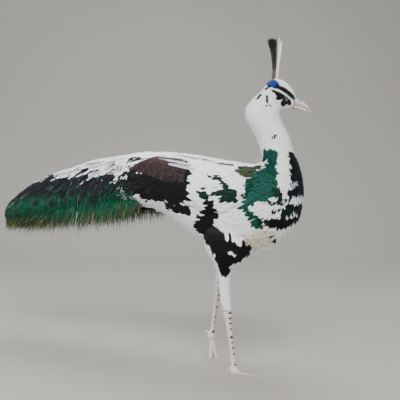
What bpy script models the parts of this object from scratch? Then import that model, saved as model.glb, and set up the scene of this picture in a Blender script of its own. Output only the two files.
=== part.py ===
"""A pied peacock at life size, in mid step: one solid for each part of the body that a person would name.

Units are metres with +Z up. The bird's trunk faces +X, its left side is +Y, and its feet stand on Z = 0.
Lengths are written in centimetres and multiplied by CM where a table or a size would be hard to read otherwise.
"""

import math

import bmesh
import bpy
from mathutils import Matrix, Vector

CM = 0.01
GAP = 0.0003  # clear space between two solids that meet
UP = Vector((0, 0, 1))

# ---- driving dimensions ----
NECK_AXIS_X = 17.1  # the upright axis, ahead of the origin, round which the neck turns
TURN = 33.0  # degrees that the head and the upper neck are turned to the bird's left
ORIGIN_X, ORIGIN_Y = -26.97, 0.0  # middle of the whole bird, measured from under its breast

# Stations of the body from the bill's root to the end of the train. Each is a slice through the body:
# back = (forward, height) of its upper edge, belly = the same of its lower edge, half = half its width,
# low = how far below the middle it is widest, as a share of half its depth, turn = share of TURN.
# Forward is measured from the neck's axis. All lengths are in centimetres.
STATIONS = [
    # back           belly          half  low   turn
    ((3.7, 68.7), (2.6, 66.1), 0.85, 0.10, 1.0),  # 0 the bill's root
    ((2.6, 71.0), (1.9, 65.9), 1.50, 0.10, 1.0),  # 1 forehead
    ((0.9, 72.8), (0.9, 65.6), 2.10, 0.05, 1.0),  # 2 eyes
    ((-1.3, 73.6), (0.2, 65.4), 2.45, 0.05, 1.0),  # 3 crown
    ((-3.4, 72.9), (-0.2, 65.0), 2.65, 0.10, 1.0),  # 4 back of the head
    ((-5.2, 70.6), (-0.3, 64.3), 2.95, 0.10, 1.0),  # 5
    ((-7.5, 68.5), (0.0, 63.3), 3.35, 0.05, 1.0),  # 6 nape
    ((-9.3, 66.0), (0.5, 62.0), 3.75, 0.00, 0.98),  # 7
    ((-9.0, 63.2), (1.3, 60.5), 3.90, 0.00, 0.95),  # 8
    ((-7.0, 59.9), (2.1, 58.8), 3.95, 0.00, 0.85),  # 9 middle of the neck
    ((-5.6, 56.6), (2.9, 56.2), 4.15, 0.00, 0.60),  # 10
    ((-5.0, 54.2), (3.9, 53.4), 4.80, 0.00, 0.30),  # 11 root of the neck
    ((-5.7, 53.0), (5.0, 49.6), 6.10, 0.00, 0.10),  # 12
    ((-7.4, 52.6), (5.3, 44.6), 7.80, 0.00, 0.0),  # 13 breast
    ((-10.0, 53.0), (4.0, 38.4), 9.20, 0.00, 0.0),  # 14
    ((-13.2, 53.6), (0.8, 33.4), 10.20, 0.00, 0.0),  # 15 shoulders
    ((-17.4, 54.3), (-4.4, 29.5), 10.70, 0.00, 0.0),  # 16
    ((-21.9, 55.2), (-10.2, 28.4), 10.80, 0.00, 0.0),  # 17 belly
    ((-26.6, 56.0), (-16.6, 30.2), 10.50, 0.00, 0.0),  # 18
    ((-31.5, 56.6), (-22.8, 32.8), 9.80, 0.00, 0.0),  # 19 vent
    ((-36.3, 56.9), (-28.8, 37.3), 9.00, 0.05, 0.0),  # 20 rump
    ((-41.2, 56.8), (-35.0, 40.2), 8.40, 0.12, 0.0),  # 21 root of the train
    ((-46.1, 56.4), (-42.1, 40.6), 7.90, 0.18, 0.0),  # 22
    ((-52.1, 55.8), (-50.0, 39.7), 7.50, 0.22, 0.0),  # 23
    ((-59.1, 55.1), (-57.9, 39.0), 7.20, 0.25, 0.0),  # 24
    ((-67.0, 53.2), (-66.8, 38.2), 6.90, 0.25, 0.0),  # 25
    ((-75.0, 51.4), (-75.3, 36.9), 6.50, 0.25, 0.0),  # 26
    ((-83.3, 48.4), (-84.0, 35.8), 5.80, 0.20, 0.0),  # 27
    ((-90.2, 44.6), (-90.6, 35.2), 4.50, 0.15, 0.0),  # 28
    ((-94.2, 42.2), (-94.0, 36.2), 2.60, 0.10, 0.0),  # 29 tip of the train
]

# The lengths that the body is parted into: first and last station, slices, points round a slice.
LENGTHS = {
    "head": (0.0, 4.6, 10, 16),
    "neck_upper": (4.6, 8.5, 7, 16),
    "neck_lower": (8.5, 11.6, 6, 18),
    "breast": (11.6, 16.6, 11, 26),
    "back": (16.6, 20.0, 6, 26),
    "rump": (20.0, 22.0, 4, 22),
}

COLOURS = {
    "body_plumage": (0.80, 0.83, 0.84),
    "white_plumage": (0.80, 0.83, 0.84),
    "dark_plumage": (0.012, 0.012, 0.016),
    "train_plumage": (0.03, 0.12, 0.07),
    "leg_skin": (0.74, 0.66, 0.62),
    "horn": (0.72, 0.62, 0.56),
    "eye": (0.02, 0.012, 0.01),
}
ROUGHNESS = {"eye": 0.05, "horn": 0.35, "leg_skin": 0.5}
FEATHER_ROUGHNESS = 0.6


# ---- tools ----
def clear_scene():
    for thing in list(bpy.data.objects):
        bpy.data.objects.remove(thing)


def material(name):
    found = bpy.data.materials.get(name)
    if found:
        return found
    made = bpy.data.materials.new(name)
    made.use_nodes = True
    shader = made.node_tree.nodes["Principled BSDF"]
    shader.inputs["Base Color"].default_value = (*COLOURS[name], 1)
    shader.inputs["Roughness"].default_value = ROUGHNESS.get(name, FEATHER_ROUGHNESS)
    return made


def between(rows, at):
    """A row of numbers, read smoothly between the rows of a table (Catmull-Rom)."""
    i = min(max(int(math.floor(at)), 0), len(rows) - 2)
    t = at - i
    p1, p2 = rows[i], rows[i + 1]
    p0 = rows[i - 1] if i else [2 * a - b for a, b in zip(p1, p2)]
    p3 = rows[i + 2] if i + 2 < len(rows) else [2 * b - a for a, b in zip(p1, p2)]
    return [
        0.5 * (2 * b + (c - a) * t + (2 * a - 5 * b + 4 * c - d) * t * t + (3 * b - a - 3 * c + d) * t**3)
        for a, b, c, d in zip(p0, p1, p2, p3)
    ]


def mesh_of_rings(name, rings, curled=False):
    """A closed mesh through rings of as many points each. A curled slice is closed from side to side."""
    bm = bmesh.new()
    made = [[bm.verts.new(p) for p in ring] for ring in rings]
    count = len(made[0])
    for a, b in zip(made, made[1:]):
        for k in range(count):
            bm.faces.new((a[k], a[(k + 1) % count], b[(k + 1) % count], b[k]))
    for ring, turn in ((made[0], 1), (made[-1], -1)):
        if curled:
            for k in range(count // 2 - 1):
                bm.faces.new((ring[k], ring[count - 1 - k], ring[count - 2 - k], ring[k + 1])[::turn])
            continue
        middle = bm.verts.new(sum((v.co for v in ring), Vector()) / count)
        for k in range(count):
            bm.faces.new((middle, ring[(k + 1) % count], ring[k])[::turn])
    bmesh.ops.recalc_face_normals(bm, faces=bm.faces)
    bmesh.ops.triangulate(bm, faces=bm.faces)
    mesh = bpy.data.meshes.new(name)
    bm.to_mesh(mesh)
    bm.free()
    return mesh


def place(name, mesh, finish):
    mesh.materials.append(material(finish))
    mesh.shade_smooth()
    mesh.set_sharp_from_angle(angle=math.radians(40))
    thing = bpy.data.objects.new(name, mesh)
    bpy.context.scene.collection.objects.link(thing)
    return thing


def grown(name, mesh, by=GAP):
    """A cutter: the same shape, larger by a hair on every side."""
    bm = bmesh.new()
    bm.from_mesh(mesh)
    bm.normal_update()
    for vert, normal in [(v, v.normal.copy()) for v in bm.verts]:
        vert.co += normal * by * vert.calc_shell_factor()
    larger = bpy.data.meshes.new(name)
    bm.to_mesh(larger)
    bm.free()
    thing = bpy.data.objects.new(name, larger)
    thing.hide_render = True
    thing.display_type = "WIRE"
    bpy.context.scene.collection.objects.link(thing)
    return thing


def cut(thing, *cutters):
    for cutter in cutters:
        modifier = thing.modifiers.new(cutter.name, "BOOLEAN")
        modifier.operation = "DIFFERENCE"
        modifier.solver = "EXACT"
        modifier.object = cutter
    return thing


def join(thing, other):
    modifier = thing.modifiers.new(other.name, "BOOLEAN")
    modifier.operation = "UNION"
    modifier.solver = "EXACT"
    modifier.object = other
    other.hide_render = True
    other.display_type = "WIRE"


# ---- the body ----
def station(at):
    """Middle, half depth, side and half width of the slice at a place along the body, in metres."""
    rows = [(*back, *belly, half, low, turn) for back, belly, half, low, turn in STATIONS]
    fb, zb, fv, zv, half, low, turn = between(rows, at)
    angle = math.radians(TURN * turn)
    ahead = Vector((math.cos(angle), math.sin(angle), 0))
    side = Vector((-math.sin(angle), math.cos(angle), 0))
    axis = Vector((NECK_AXIS_X, 0, 0))
    back = (axis + ahead * fb + UP * zb) * CM
    belly = (axis + ahead * fv + UP * zv) * CM
    return (back + belly) / 2, (back - belly) / 2, side, half * CM, low


def body_point(at, angle):
    """A point of the body's surface: angle 0 is the back and 90 degrees the bird's left side."""
    middle, deep, side, half, low = station(at)
    sine, cosine = math.sin(angle), math.cos(angle)
    return middle + deep * (cosine - low * sine * sine) + side * half * sine


def body_normal(at, angle):
    step = 0.02
    along = body_point(at + step, angle) - body_point(at - step, angle)
    around = body_point(at, angle + step) - body_point(at, angle - step)
    normal = around.cross(along).normalized()
    outward = body_point(at, angle) - station(at)[0]
    return normal if normal.dot(outward) > 0 else -normal


def body_ring(at, count, shift=0.0):
    """The slice as a ring of points, moved by shift along the body towards the tail."""
    _, deep, side, _, _ = station(at)
    tailward = side.cross(deep).normalized()
    if tailward.dot(station(at + 0.1)[0] - station(at - 0.1)[0]) < 0:
        tailward = -tailward
    return [body_point(at, math.tau * k / count) + tailward * shift for k in range(count)]


def body_mesh(name):
    first, last, slices, count = LENGTHS[name]
    rings = [body_ring(first + (last - first) * k / slices, count) for k in range(slices + 1)]
    rings[0] = body_ring(first, count, GAP)
    return mesh_of_rings(name, rings)


# ---- wings: a curved shell lying on the side of the trunk ----
WING_FIRST, WING_LAST = 13.9, 21.6  # stations of the wing's bend and of its tip
WING_PART = 0.5  # where the coverts end and the quills begin, as a share of its length
WING_MIDDLE = (72, 61, 58, 63, 74)  # degrees round from the back, at equal steps along the wing
WING_HALF = (9, 34, 36, 29, 6)  # half its breadth in degrees, at the same places
WING_RIM = 0.35 * CM
WING_SINK = 0.5 * CM  # how deep the shell is sunk before the trunk is cut away from it
WING_THICK = (0.5, 1.3, 1.1, 0.8, 0.3)  # centimetres above the rim, along the wing


def wing_mesh(name, hand, first, last, slices, across):
    """Shell between two shares of the wing's length. hand is 1 on the left and -1 on the right."""
    rings = []
    for k in range(slices + 1):
        share = first + (last - first) * k / slices
        middle = between([(m,) for m in WING_MIDDLE], 4 * share)[0]
        half = between([(h,) for h in WING_HALF], 4 * share)[0]
        thick = between([(t,) for t in WING_THICK], 4 * share)[0] * CM
        at = WING_FIRST + (WING_LAST - WING_FIRST) * share
        outer, inner = [], []
        for j in range(across + 1):
            part = 2 * j / across - 1
            angle = math.radians(middle + half * part) * hand
            point, normal = body_point(at, angle), body_normal(at, angle)
            rise = WING_RIM + thick * (1 - abs(part) ** 2.5)
            outer.append(point + normal * rise)
            inner.append(point - normal * WING_SINK)
        rings.append(outer + inner[::-1])
    return mesh_of_rings(name, rings, curled=True)


# ---- train: a roof of long feathers, open beneath over the tail ----
TRAIN_FIRST, TRAIN_LAST = 22.03, 29.0
TRAIN_HEM = 144  # degrees round from the back to its lower edge, on either side
TRAIN_WALL = 1.8 * CM  # thickness of the layers of feathers
TRAIN_SLICES, TRAIN_ACROSS = 10, 16


def train_mesh(name):
    rings = []
    for k in range(TRAIN_SLICES + 1):
        at = TRAIN_FIRST + (TRAIN_LAST - TRAIN_FIRST) * k / TRAIN_SLICES
        middle, deep, _, half, _ = station(at)
        wall = min(TRAIN_WALL, 0.42 * min(half, deep.length))
        outer, inner = [], []
        for j in range(TRAIN_ACROSS + 1):
            part = 2 * j / TRAIN_ACROSS - 1
            angle = math.radians(TRAIN_HEM) * part
            point = body_point(at, angle)
            outer.append(point)
            inner.append(point + (middle - point).normalized() * wall * (1 - 0.5 * part**6))
        rings.append(outer + inner[::-1])
    return mesh_of_rings(name, rings, curled=True)


# ---- legs ----
HOCK = {"right": (4.4, -5.0, 15.6), "left": (-3.5, 5.4, 20.9)}
SOLE = {"right": (6.4, -5.0, 1.0), "left": (-5.8, 5.2, 6.3)}
SPUR_SHARE = 0.66  # how far down the shank the spur stands
# Sizes down the feathered leg: offset of its middle from the hock, half length, half breadth.
THIGH = {
    "right": [
        ((0.2, -1.6, 23.0), 6.8, 3.6),
        ((0.6, -1.5, 18.5), 6.6, 4.4),
        ((1.0, -1.1, 14.6), 6.0, 4.1),
        ((0.5, -0.6, 12.4), 4.2, 3.1),
        ((-0.6, -0.2, 10.2), 2.0, 1.9),
        ((-0.7, 0.0, 6.0), 1.5, 1.45),
        ((-0.4, 0.0, 2.4), 1.35, 1.3),
        ((0.0, 0.0, 0.6), 1.15, 1.05),
    ],
    "left": [
        ((5.6, 0.0, 17.5), 6.6, 3.6),
        ((5.4, 0.1, 13.6), 6.2, 4.2),
        ((4.3, 0.1, 10.4), 4.8, 3.7),
        ((2.6, 0.0, 7.6), 3.1, 2.7),
        ((1.1, 0.0, 4.8), 2.0, 1.9),
        ((0.4, 0.0, 2.4), 1.45, 1.4),
        ((0.0, 0.0, 0.5), 1.15, 1.05),
    ],
}
SHANK = [(0.0, 0.95), (0.07, 1.0), (0.18, 0.72), (0.5, 0.56), (0.8, 0.52), (0.94, 0.62), (1.0, 0.55)]
PAD_RADIUS = 1.15
# Toes: degrees from straight ahead, reach on the floor, radius at the root (centimetres).
TOES = {
    "right": {"middle": (-9, 8.2, 0.52), "inner": (44, 6.2, 0.46), "outer": (-60, 6.4, 0.46)},
    "left": {"middle": (-14, 5.6, 0.52), "inner": (-70, 4.4, 0.44), "outer": (38, 4.6, 0.44)},
}
HIND = {"right": (-196, 2.5, 0.36, 1.74), "left": (-196, 2.6, 0.36, 0.2)}  # and how far it drops
CLAW_LENGTH, CLAW_ARCH, CLAW_ROOT = 1.5, 0.22, 0.82  # the last is its root as a share of the toe's tip
HIND_CLAW_LENGTH = 1.1
SPUR_LENGTH, SPUR_RADIUS = 2.1, 0.40
TOE_SLICES, TOE_SIDES = 8, 7


def tube_mesh(name, points, radii, sides, broad=1.0, floor=None):
    """A closed tube through points. broad widens it sideways, and floor flattens it underneath."""
    rings = []
    for k, point in enumerate(points):
        along = (points[min(k + 1, len(points) - 1)] - points[max(k - 1, 0)]).normalized()
        side = along.cross(UP)
        side = side.normalized() if side.length > 1e-4 else Vector((0, 1, 0))
        rise = side.cross(along).normalized()
        ring = []
        for j in range(sides):
            angle = math.tau * (j + 0.5) / sides
            spot = point + (side * math.cos(angle) * broad + rise * math.sin(angle)) * radii[k]
            if floor is not None:
                spot.z = max(spot.z, floor)
            ring.append(spot)
        rings.append(ring)
    return mesh_of_rings(name, rings)


def thigh_mesh(side):
    hock = Vector(HOCK[side])
    rings = []
    for offset, length, breadth in THIGH[side]:
        middle = hock + Vector(offset)
        ring = []
        for k in range(16):
            angle = math.tau * k / 16
            ring.append((middle + Vector((length * math.cos(angle), breadth * math.sin(angle), 0))) * CM)
        rings.append(ring)
    return mesh_of_rings("thigh_" + side, rings)


def shank_mesh(side):
    top, sole = Vector(HOCK[side]) * CM, Vector(SOLE[side]) * CM
    points = [top.lerp(sole, share) for share, _ in SHANK]
    return tube_mesh("shank_" + side, points, [r * CM for _, r in SHANK], 10)


def pad_mesh(side):
    """The ball of the foot, flat below where it stands on the floor."""
    sole = Vector(SOLE[side]) * CM
    radius = PAD_RADIUS * CM
    rings = []
    for k in range(1, 6):
        rise = math.cos(math.pi * k / 6)
        width = math.sin(math.pi * k / 6)
        ring = []
        for j in range(12):
            angle = math.tau * j / 12
            spot = sole + Vector((math.cos(angle) * width, math.sin(angle) * width, rise)) * radius
            spot.z = max(spot.z, 0)
            ring.append(spot)
        rings.append(ring)
    rings = [r for i, r in enumerate(rings) if i == 0 or r[0].z < rings[i - 1][0].z]
    return mesh_of_rings("pad_" + side, rings)


def toe_path(side, angle, reach, radius):
    """Middle line of a toe, from the ball of the foot down to the floor and along it."""
    sole = Vector(SOLE[side])
    heading = Vector((math.cos(math.radians(angle)), math.sin(math.radians(angle)), 0))
    rest = radius * 0.62
    drop = sole.z - 0.15 - rest
    points = []
    for k in range(TOE_SLICES + 1):
        share = k / TOE_SLICES
        fall = min(1.0, share / (0.42 if drop > 1 else 0.25))
        height = rest + drop * (1 - fall * fall * (3 - 2 * fall))
        points.append(Vector((sole.x, sole.y, 0)) + heading * reach * share + UP * height)
    return points, heading


def toe_radii(radius):
    """Thick at each joint and slim between, tapering to the claw."""
    return [
        radius * (1 - 0.38 * k / TOE_SLICES) * (1 + 0.09 * math.cos(math.tau * 3 * k / TOE_SLICES))
        for k in range(TOE_SLICES + 1)
    ]


def toe_and_claw(side, which, angle, reach, radius):
    points, heading = toe_path(side, angle, reach, radius)
    radii = toe_radii(radius)
    name = f"toe_{side}_{which}"
    toe = tube_mesh(name, [p * CM for p in points], [r * CM for r in radii], TOE_SIDES, 1.05, 0.0)
    claw_points, claw_radii = [], []
    for k in range(6):
        share = k / 5
        arch = CLAW_ARCH * math.sin(2.4 * share) - 0.1 * share
        claw_points.append((points[-1] + heading * (GAP / CM + CLAW_LENGTH * share) + UP * arch) * CM)
        claw_radii.append(radii[-1] * CLAW_ROOT * (1 - 0.86 * share**1.3) * CM)
    claw = tube_mesh("claw" + name[3:], claw_points, claw_radii, TOE_SIDES, 0.85, 0.0)
    return toe, claw


def hind_toe(side):
    """The short hind toe, which leaves the back of the shank above the ball of the foot."""
    angle, reach, radius, drop = HIND[side]
    heading = Vector((math.cos(math.radians(angle)), math.sin(math.radians(angle)), 0))
    root = Vector(HOCK[side]).lerp(Vector(SOLE[side]), 0.93)
    points = [root + heading * reach * k / 4 - UP * drop * (k / 4) ** 1.5 for k in range(5)]
    radii = [radius * (1 - 0.3 * k / 4) for k in range(5)]
    toe = tube_mesh(f"toe_{side}_hind", [p * CM for p in points], [r * CM for r in radii], TOE_SIDES, 1.0, 0.0)
    reach = HIND_CLAW_LENGTH
    claw_points = [points[-1] + heading * (GAP / CM + reach * k / 4) - UP * 0.1 * k / 4 for k in range(5)]
    claw_radii = [radii[-1] * CLAW_ROOT * (1 - 0.85 * k / 4) for k in range(5)]
    claw = tube_mesh(
        f"claw_{side}_hind", [p * CM for p in claw_points], [r * CM for r in claw_radii], TOE_SIDES, 1.0, 0.0
    )
    return toe, claw


def spur_mesh(side):
    """The horny spur that a cock carries on the inner back of each shank."""
    angle = math.radians(HIND[side][0])
    heading = Vector((math.cos(angle), math.sin(angle), 0.25)).normalized()
    root = Vector(HOCK[side]).lerp(Vector(SOLE[side]), SPUR_SHARE)
    points = [root + heading * SPUR_LENGTH * k / 4 + UP * 0.25 * (k / 4) ** 2 for k in range(5)]
    radii = [SPUR_RADIUS * (1 - 0.8 * k / 4) for k in range(5)]
    return tube_mesh("spur_" + side, [p * CM for p in points], [r * CM for r in radii], TOE_SIDES)


# ---- head pieces ----
EYE_RADIUS = 0.56
EYE_AT = (0.7, 68.4, 1.62)  # forward, height and distance from the middle of the head
BILL_UPPER = [
    # forward, height of the ridge, height of the edge, half width
    (3.0, 68.9, 66.95, 1.05),
    (3.9, 68.55, 66.9, 0.95),
    (4.9, 68.0, 66.7, 0.80),
    (5.8, 67.4, 66.35, 0.60),
    (6.6, 66.6, 65.8, 0.36),
    (7.15, 65.6, 65.1, 0.13),
]
BILL_LOWER = [
    (2.8, 66.85, 65.95, 0.95),
    (3.7, 66.8, 65.85, 0.85),
    (4.6, 66.6, 65.7, 0.66),
    (5.5, 66.25, 65.5, 0.44),
    (6.2, 65.85, 65.3, 0.20),
]


def head_place(forward, height, sideways=0.0):
    angle = math.radians(TURN)
    ahead = Vector((math.cos(angle), math.sin(angle), 0))
    side = Vector((-math.sin(angle), math.cos(angle), 0))
    return (Vector((NECK_AXIS_X, 0, 0)) + ahead * forward + side * sideways + UP * height) * CM


def bill_mesh(name, rows, edge_low):
    """Half of the bill: a ridge on one side and a flat biting edge on the other."""
    rings = []
    for k in range(11):
        forward, ridge, edge, half = between(rows, (len(rows) - 1) * k / 10)
        ring = []
        for j in range(12):
            angle = math.tau * j / 12
            rise = math.cos(angle)
            height = (ridge + edge) / 2 + (ridge - edge) / 2 * rise
            taper = 1 - 0.35 * max(0.0, rise if edge_low else -rise)
            ring.append(head_place(forward, height, half * math.sin(angle) * taper))
        rings.append(ring)
    return mesh_of_rings(name, rings)


def eye_mesh(side):
    centre = head_place(EYE_AT[0], EYE_AT[1], EYE_AT[2] * (1 if side == "left" else -1))
    bm = bmesh.new()
    bmesh.ops.create_uvsphere(bm, u_segments=12, v_segments=8, radius=EYE_RADIUS * CM)
    bmesh.ops.translate(bm, verts=bm.verts, vec=centre)
    mesh = bpy.data.meshes.new("eye_" + side)
    bm.to_mesh(mesh)
    bm.free()
    return mesh


PLUME_SIDES = 8
CREST = [
    # forward, height, half length, half breadth
    (-2.2, 72.6, 0.60, 0.50),
    (-2.2, 75.2, 0.70, 0.50),
    (-2.05, 78.0, 0.90, 0.55),
    (-1.95, 80.6, 0.95, 0.62),
    (-2.35, 83.0, 1.20, 0.60),
    (-2.45, 83.7, 1.20, 0.35),
]
CREST_WHITE = [
    (-1.05, 72.6, 0.22, 0.28),
    (-1.0, 75.4, 0.26, 0.30),
    (-0.72, 78.2, 0.32, 0.34),
    (-0.42, 80.4, 0.44, 0.34),
    (-0.15, 82.9, 0.20, 0.20),
]


def plume_mesh(name, rows):
    steps = 2 * (len(rows) - 1)
    rings = []
    for k in range(steps + 1):
        forward, height, long, broad = between(rows, k / 2)
        turns = [math.tau * j / PLUME_SIDES for j in range(PLUME_SIDES)]
        rings.append([head_place(forward + long * math.cos(t), height, broad * math.sin(t)) for t in turns])
    return mesh_of_rings(name, rings)


# ---- tail: the stiff brown quills under the train ----
TAIL_SIDES = 14
TAIL = [
    # back along the bird, height, half width, half thickness
    (-17.0, 41.1, 2.6, 0.7),
    (-24.0, 40.9, 4.4, 0.65),
    (-33.0, 40.3, 5.6, 0.6),
    (-42.0, 39.6, 6.0, 0.5),
    (-48.0, 39.0, 5.6, 0.4),
    (-51.0, 38.7, 4.2, 0.3),
]


def tail_mesh():
    rings = []
    for k in range(11):
        back, height, half, thick = between(TAIL, k / 2)
        turns = [math.tau * j / TAIL_SIDES for j in range(TAIL_SIDES)]
        rings.append([Vector((back, half * math.cos(t), height + thick * math.sin(t))) * CM for t in turns])
    return mesh_of_rings("tail", rings)


# ---- putting it together ----
FINISH = {
    "head": "body_plumage",
    "neck_upper": "body_plumage",
    "neck_lower": "body_plumage",
    "breast": "body_plumage",
    "back": "white_plumage",
    "rump": "white_plumage",
}


def build():
    clear_scene()
    body = {name: body_mesh(name) for name in LENGTHS}
    larger = {name: grown("larger_" + name, mesh) for name, mesh in body.items()}
    nodes = {name: place(name, mesh, FINISH[name]) for name, mesh in body.items()}

    train = train_mesh("train")
    larger["train"] = grown("larger_train", train)
    nodes["train"] = place("train", train, "train_plumage")
    tail = tail_mesh()
    larger_tail = grown("larger_tail", tail)
    for name in ("back", "rump", "train"):
        cut(nodes[name], larger_tail)
    place("tail", tail, "dark_plumage")

    wing_cutters = []
    for hand, side in ((1, "left"), (-1, "right")):
        coverts = wing_mesh(f"wing_{side}_coverts", hand, 0.0, WING_PART, 8, 7)
        quills = wing_mesh(f"wing_{side}_quills", hand, WING_PART + 0.002, 1.0, 8, 7)
        for mesh, finish in ((coverts, "white_plumage"), (quills, "dark_plumage")):
            wing = place(mesh.name, mesh, finish)
            cut(wing, *(larger[n] for n in ("neck_lower", "breast", "back", "rump", "train")))
        wing_cutters += [grown("larger_" + coverts.name, coverts), grown("larger_" + quills.name, quills)]

    for side in ("right", "left"):
        thigh, shank, pad = thigh_mesh(side), shank_mesh(side), pad_mesh(side)
        leg = place("thigh_" + side, thigh, "body_plumage")
        cut(leg, larger["breast"], larger["back"], *wing_cutters)
        foot = place("shank_" + side, shank, "leg_skin")
        ball = place("ball_" + side, pad, "leg_skin")
        join(foot, ball)
        cut(foot, grown("larger_thigh_" + side, thigh))
        larger_shank = [grown("larger_shank_" + side, shank), grown("larger_pad_" + side, pad)]
        earlier = list(larger_shank)
        for which, (angle, reach, radius) in TOES[side].items():
            toe, claw = toe_and_claw(side, which, angle, reach, radius)
            larger_toe = grown("larger_" + toe.name, toe)
            cut(place(toe.name, toe, "leg_skin"), *earlier)
            cut(place(claw.name, claw, "horn"), larger_toe)
            earlier.append(larger_toe)
        toe, claw = hind_toe(side)
        cut(place(toe.name, toe, "leg_skin"), *larger_shank)
        cut(place(claw.name, claw, "horn"), grown("larger_" + toe.name, toe))
        spur = spur_mesh(side)
        cut(place(spur.name, spur, "horn"), *larger_shank)

    upper = bill_mesh("bill_upper", BILL_UPPER, True)
    lower = bill_mesh("bill_lower", BILL_LOWER, False)
    larger_upper = grown("larger_bill_upper", upper)
    cut(nodes["head"], larger_upper, grown("larger_bill_lower", lower))
    place("bill_upper", upper, "horn")
    cut(place("bill_lower", lower, "horn"), larger_upper)
    for side in ("left", "right"):
        eye = eye_mesh(side)
        cut(nodes["head"], grown("larger_eye_" + side, eye))
        place("eye_" + side, eye, "eye")
    crest = plume_mesh("crest", CREST)
    cut(place("crest", crest, "dark_plumage"), larger["head"])
    white = plume_mesh("crest_white", CREST_WHITE)
    cut(place("crest_white", white, "white_plumage"), larger["head"], grown("larger_crest", crest))

    middle = Matrix.Translation((-ORIGIN_X * CM, -ORIGIN_Y * CM, 0))
    for thing in bpy.data.objects:
        thing.data.transform(middle)


build()
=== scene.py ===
"""A pied peacock at life size, as a museum would show it: skin, plumage, bill, eyes, legs and claws."""

import math

import bpy
import numpy as np
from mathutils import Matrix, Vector
from mathutils.bvhtree import BVHTree


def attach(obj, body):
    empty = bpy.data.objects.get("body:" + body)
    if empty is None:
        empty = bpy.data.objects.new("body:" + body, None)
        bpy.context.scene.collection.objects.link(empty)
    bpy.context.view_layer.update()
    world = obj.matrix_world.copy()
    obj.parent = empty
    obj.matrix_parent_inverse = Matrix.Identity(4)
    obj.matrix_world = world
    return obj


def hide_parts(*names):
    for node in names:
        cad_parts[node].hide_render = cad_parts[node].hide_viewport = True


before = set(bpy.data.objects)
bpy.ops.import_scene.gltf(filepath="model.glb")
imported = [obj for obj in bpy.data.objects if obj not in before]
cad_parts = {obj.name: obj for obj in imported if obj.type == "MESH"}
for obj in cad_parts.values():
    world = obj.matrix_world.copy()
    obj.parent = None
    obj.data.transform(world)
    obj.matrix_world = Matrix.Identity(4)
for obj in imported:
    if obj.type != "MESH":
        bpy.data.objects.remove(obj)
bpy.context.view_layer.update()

# ---- skin ----
# The bird's skin from the bill's root to the rump, with the thighs and the arms of the wings. It is thin and
# lies a few millimetres under the tips of the plumage, and its down takes the colour of the feathers over it,
# made a fifth darker as painted shade.
CM = 0.01
SKIN_NODES = [
    "head",
    "neck_upper",
    "neck_lower",
    "breast",
    "back",
    "rump",
    "thigh_left",
    "thigh_right",
    "wing_left_coverts",
    "wing_left_quills",
    "wing_right_coverts",
    "wing_right_quills",
]
VOXEL = 0.0028
NECK_AXIS = (44.07, 0.0)  # the upright axis that the head is turned about
HEAD_TURN = math.radians(33)
rng = np.random.default_rng(7)


def linear(code):
    """A colour written as sRGB hex, turned linear."""
    parts = [int(code[i : i + 2], 16) / 255 for i in (1, 3, 5)]
    return tuple(c / 12.92 if c <= 0.04045 else ((c + 0.055) / 1.055) ** 2.4 for c in parts)


def add_node(material, kind, links=None, **settings):
    """One shader node with its settings, and its inputs set to a value or linked to another node's output."""
    node = material.node_tree.nodes.new(kind)
    for key, value in settings.items():
        setattr(node, key, value)
    for key, value in (links or {}).items():
        if isinstance(value, bpy.types.NodeSocket):
            material.node_tree.links.new(value, node.inputs[key])
        else:
            node.inputs[key].default_value = value
    return node


def new_material(name):
    material = bpy.data.materials.new(name)
    material.use_nodes = True
    return material, material.node_tree.nodes["Principled BSDF"]


def join_inputs(material, shader, **links):
    for key, value in links.items():
        key = key.replace("_", " ")
        if isinstance(value, bpy.types.NodeSocket):
            material.node_tree.links.new(value, shader.inputs[key])
        else:
            shader.inputs[key].default_value = value


def scaled(material, colour, value):
    """A colour made lighter or darker by a value."""
    return add_node(material, "ShaderNodeVectorMath", {0: colour, "Scale": value}, operation="SCALE")


def mesh_piece(name, points, faces, material, tint=None, bake=None, vane=None):
    """A mesh object from arrays: points (n, 3), faces (m, 4), a colour for each point and UVs for each corner."""
    mesh = bpy.data.meshes.new(name)
    mesh.vertices.add(len(points))
    mesh.vertices.foreach_set("co", np.asarray(points, np.float32).ravel())
    size = faces.shape[1]
    mesh.loops.add(faces.size)
    mesh.loops.foreach_set("vertex_index", faces.astype(np.int32).ravel())
    mesh.polygons.add(len(faces))
    mesh.polygons.foreach_set("loop_start", np.arange(0, faces.size, size, dtype=np.int32))
    mesh.update()
    mesh.shade_smooth()
    if tint is not None:
        layer = mesh.color_attributes.new("Tint", "FLOAT_COLOR", "POINT")
        layer.data.foreach_set("color", np.asarray(tint, np.float32).ravel())
    if vane is not None:
        mesh.uv_layers.new(name="Vane").data.foreach_set("uv", np.asarray(vane[faces], np.float32).ravel())
    if bake is not None:
        mesh.uv_layers.new(name="OFBake").data.foreach_set("uv", np.asarray(bake[faces], np.float32).ravel())
    mesh.materials.append(material)
    thing = bpy.data.objects.new(name, mesh)
    bpy.context.scene.collection.objects.link(thing)
    return thing


def dress(piece, slot, *nodes):
    """Lets a piece stand for CAD nodes and ride on the one body. The slot is not used."""
    if nodes:
        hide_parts(*nodes)
    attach(piece, "root")


def node_arrays(name):
    """Points and triangles of a CAD node."""
    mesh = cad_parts[name].data
    mesh.calc_loop_triangles()
    points = np.empty(len(mesh.vertices) * 3)
    mesh.vertices.foreach_get("co", points)
    triangles = np.empty(len(mesh.loop_triangles) * 3, np.int32)
    mesh.loop_triangles.foreach_get("vertices", triangles)
    matrix = np.array(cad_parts[name].matrix_world)
    points = points.reshape(-1, 3) @ matrix[:3, :3].T + matrix[:3, 3]
    return points, triangles.reshape(-1, 3)


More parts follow.
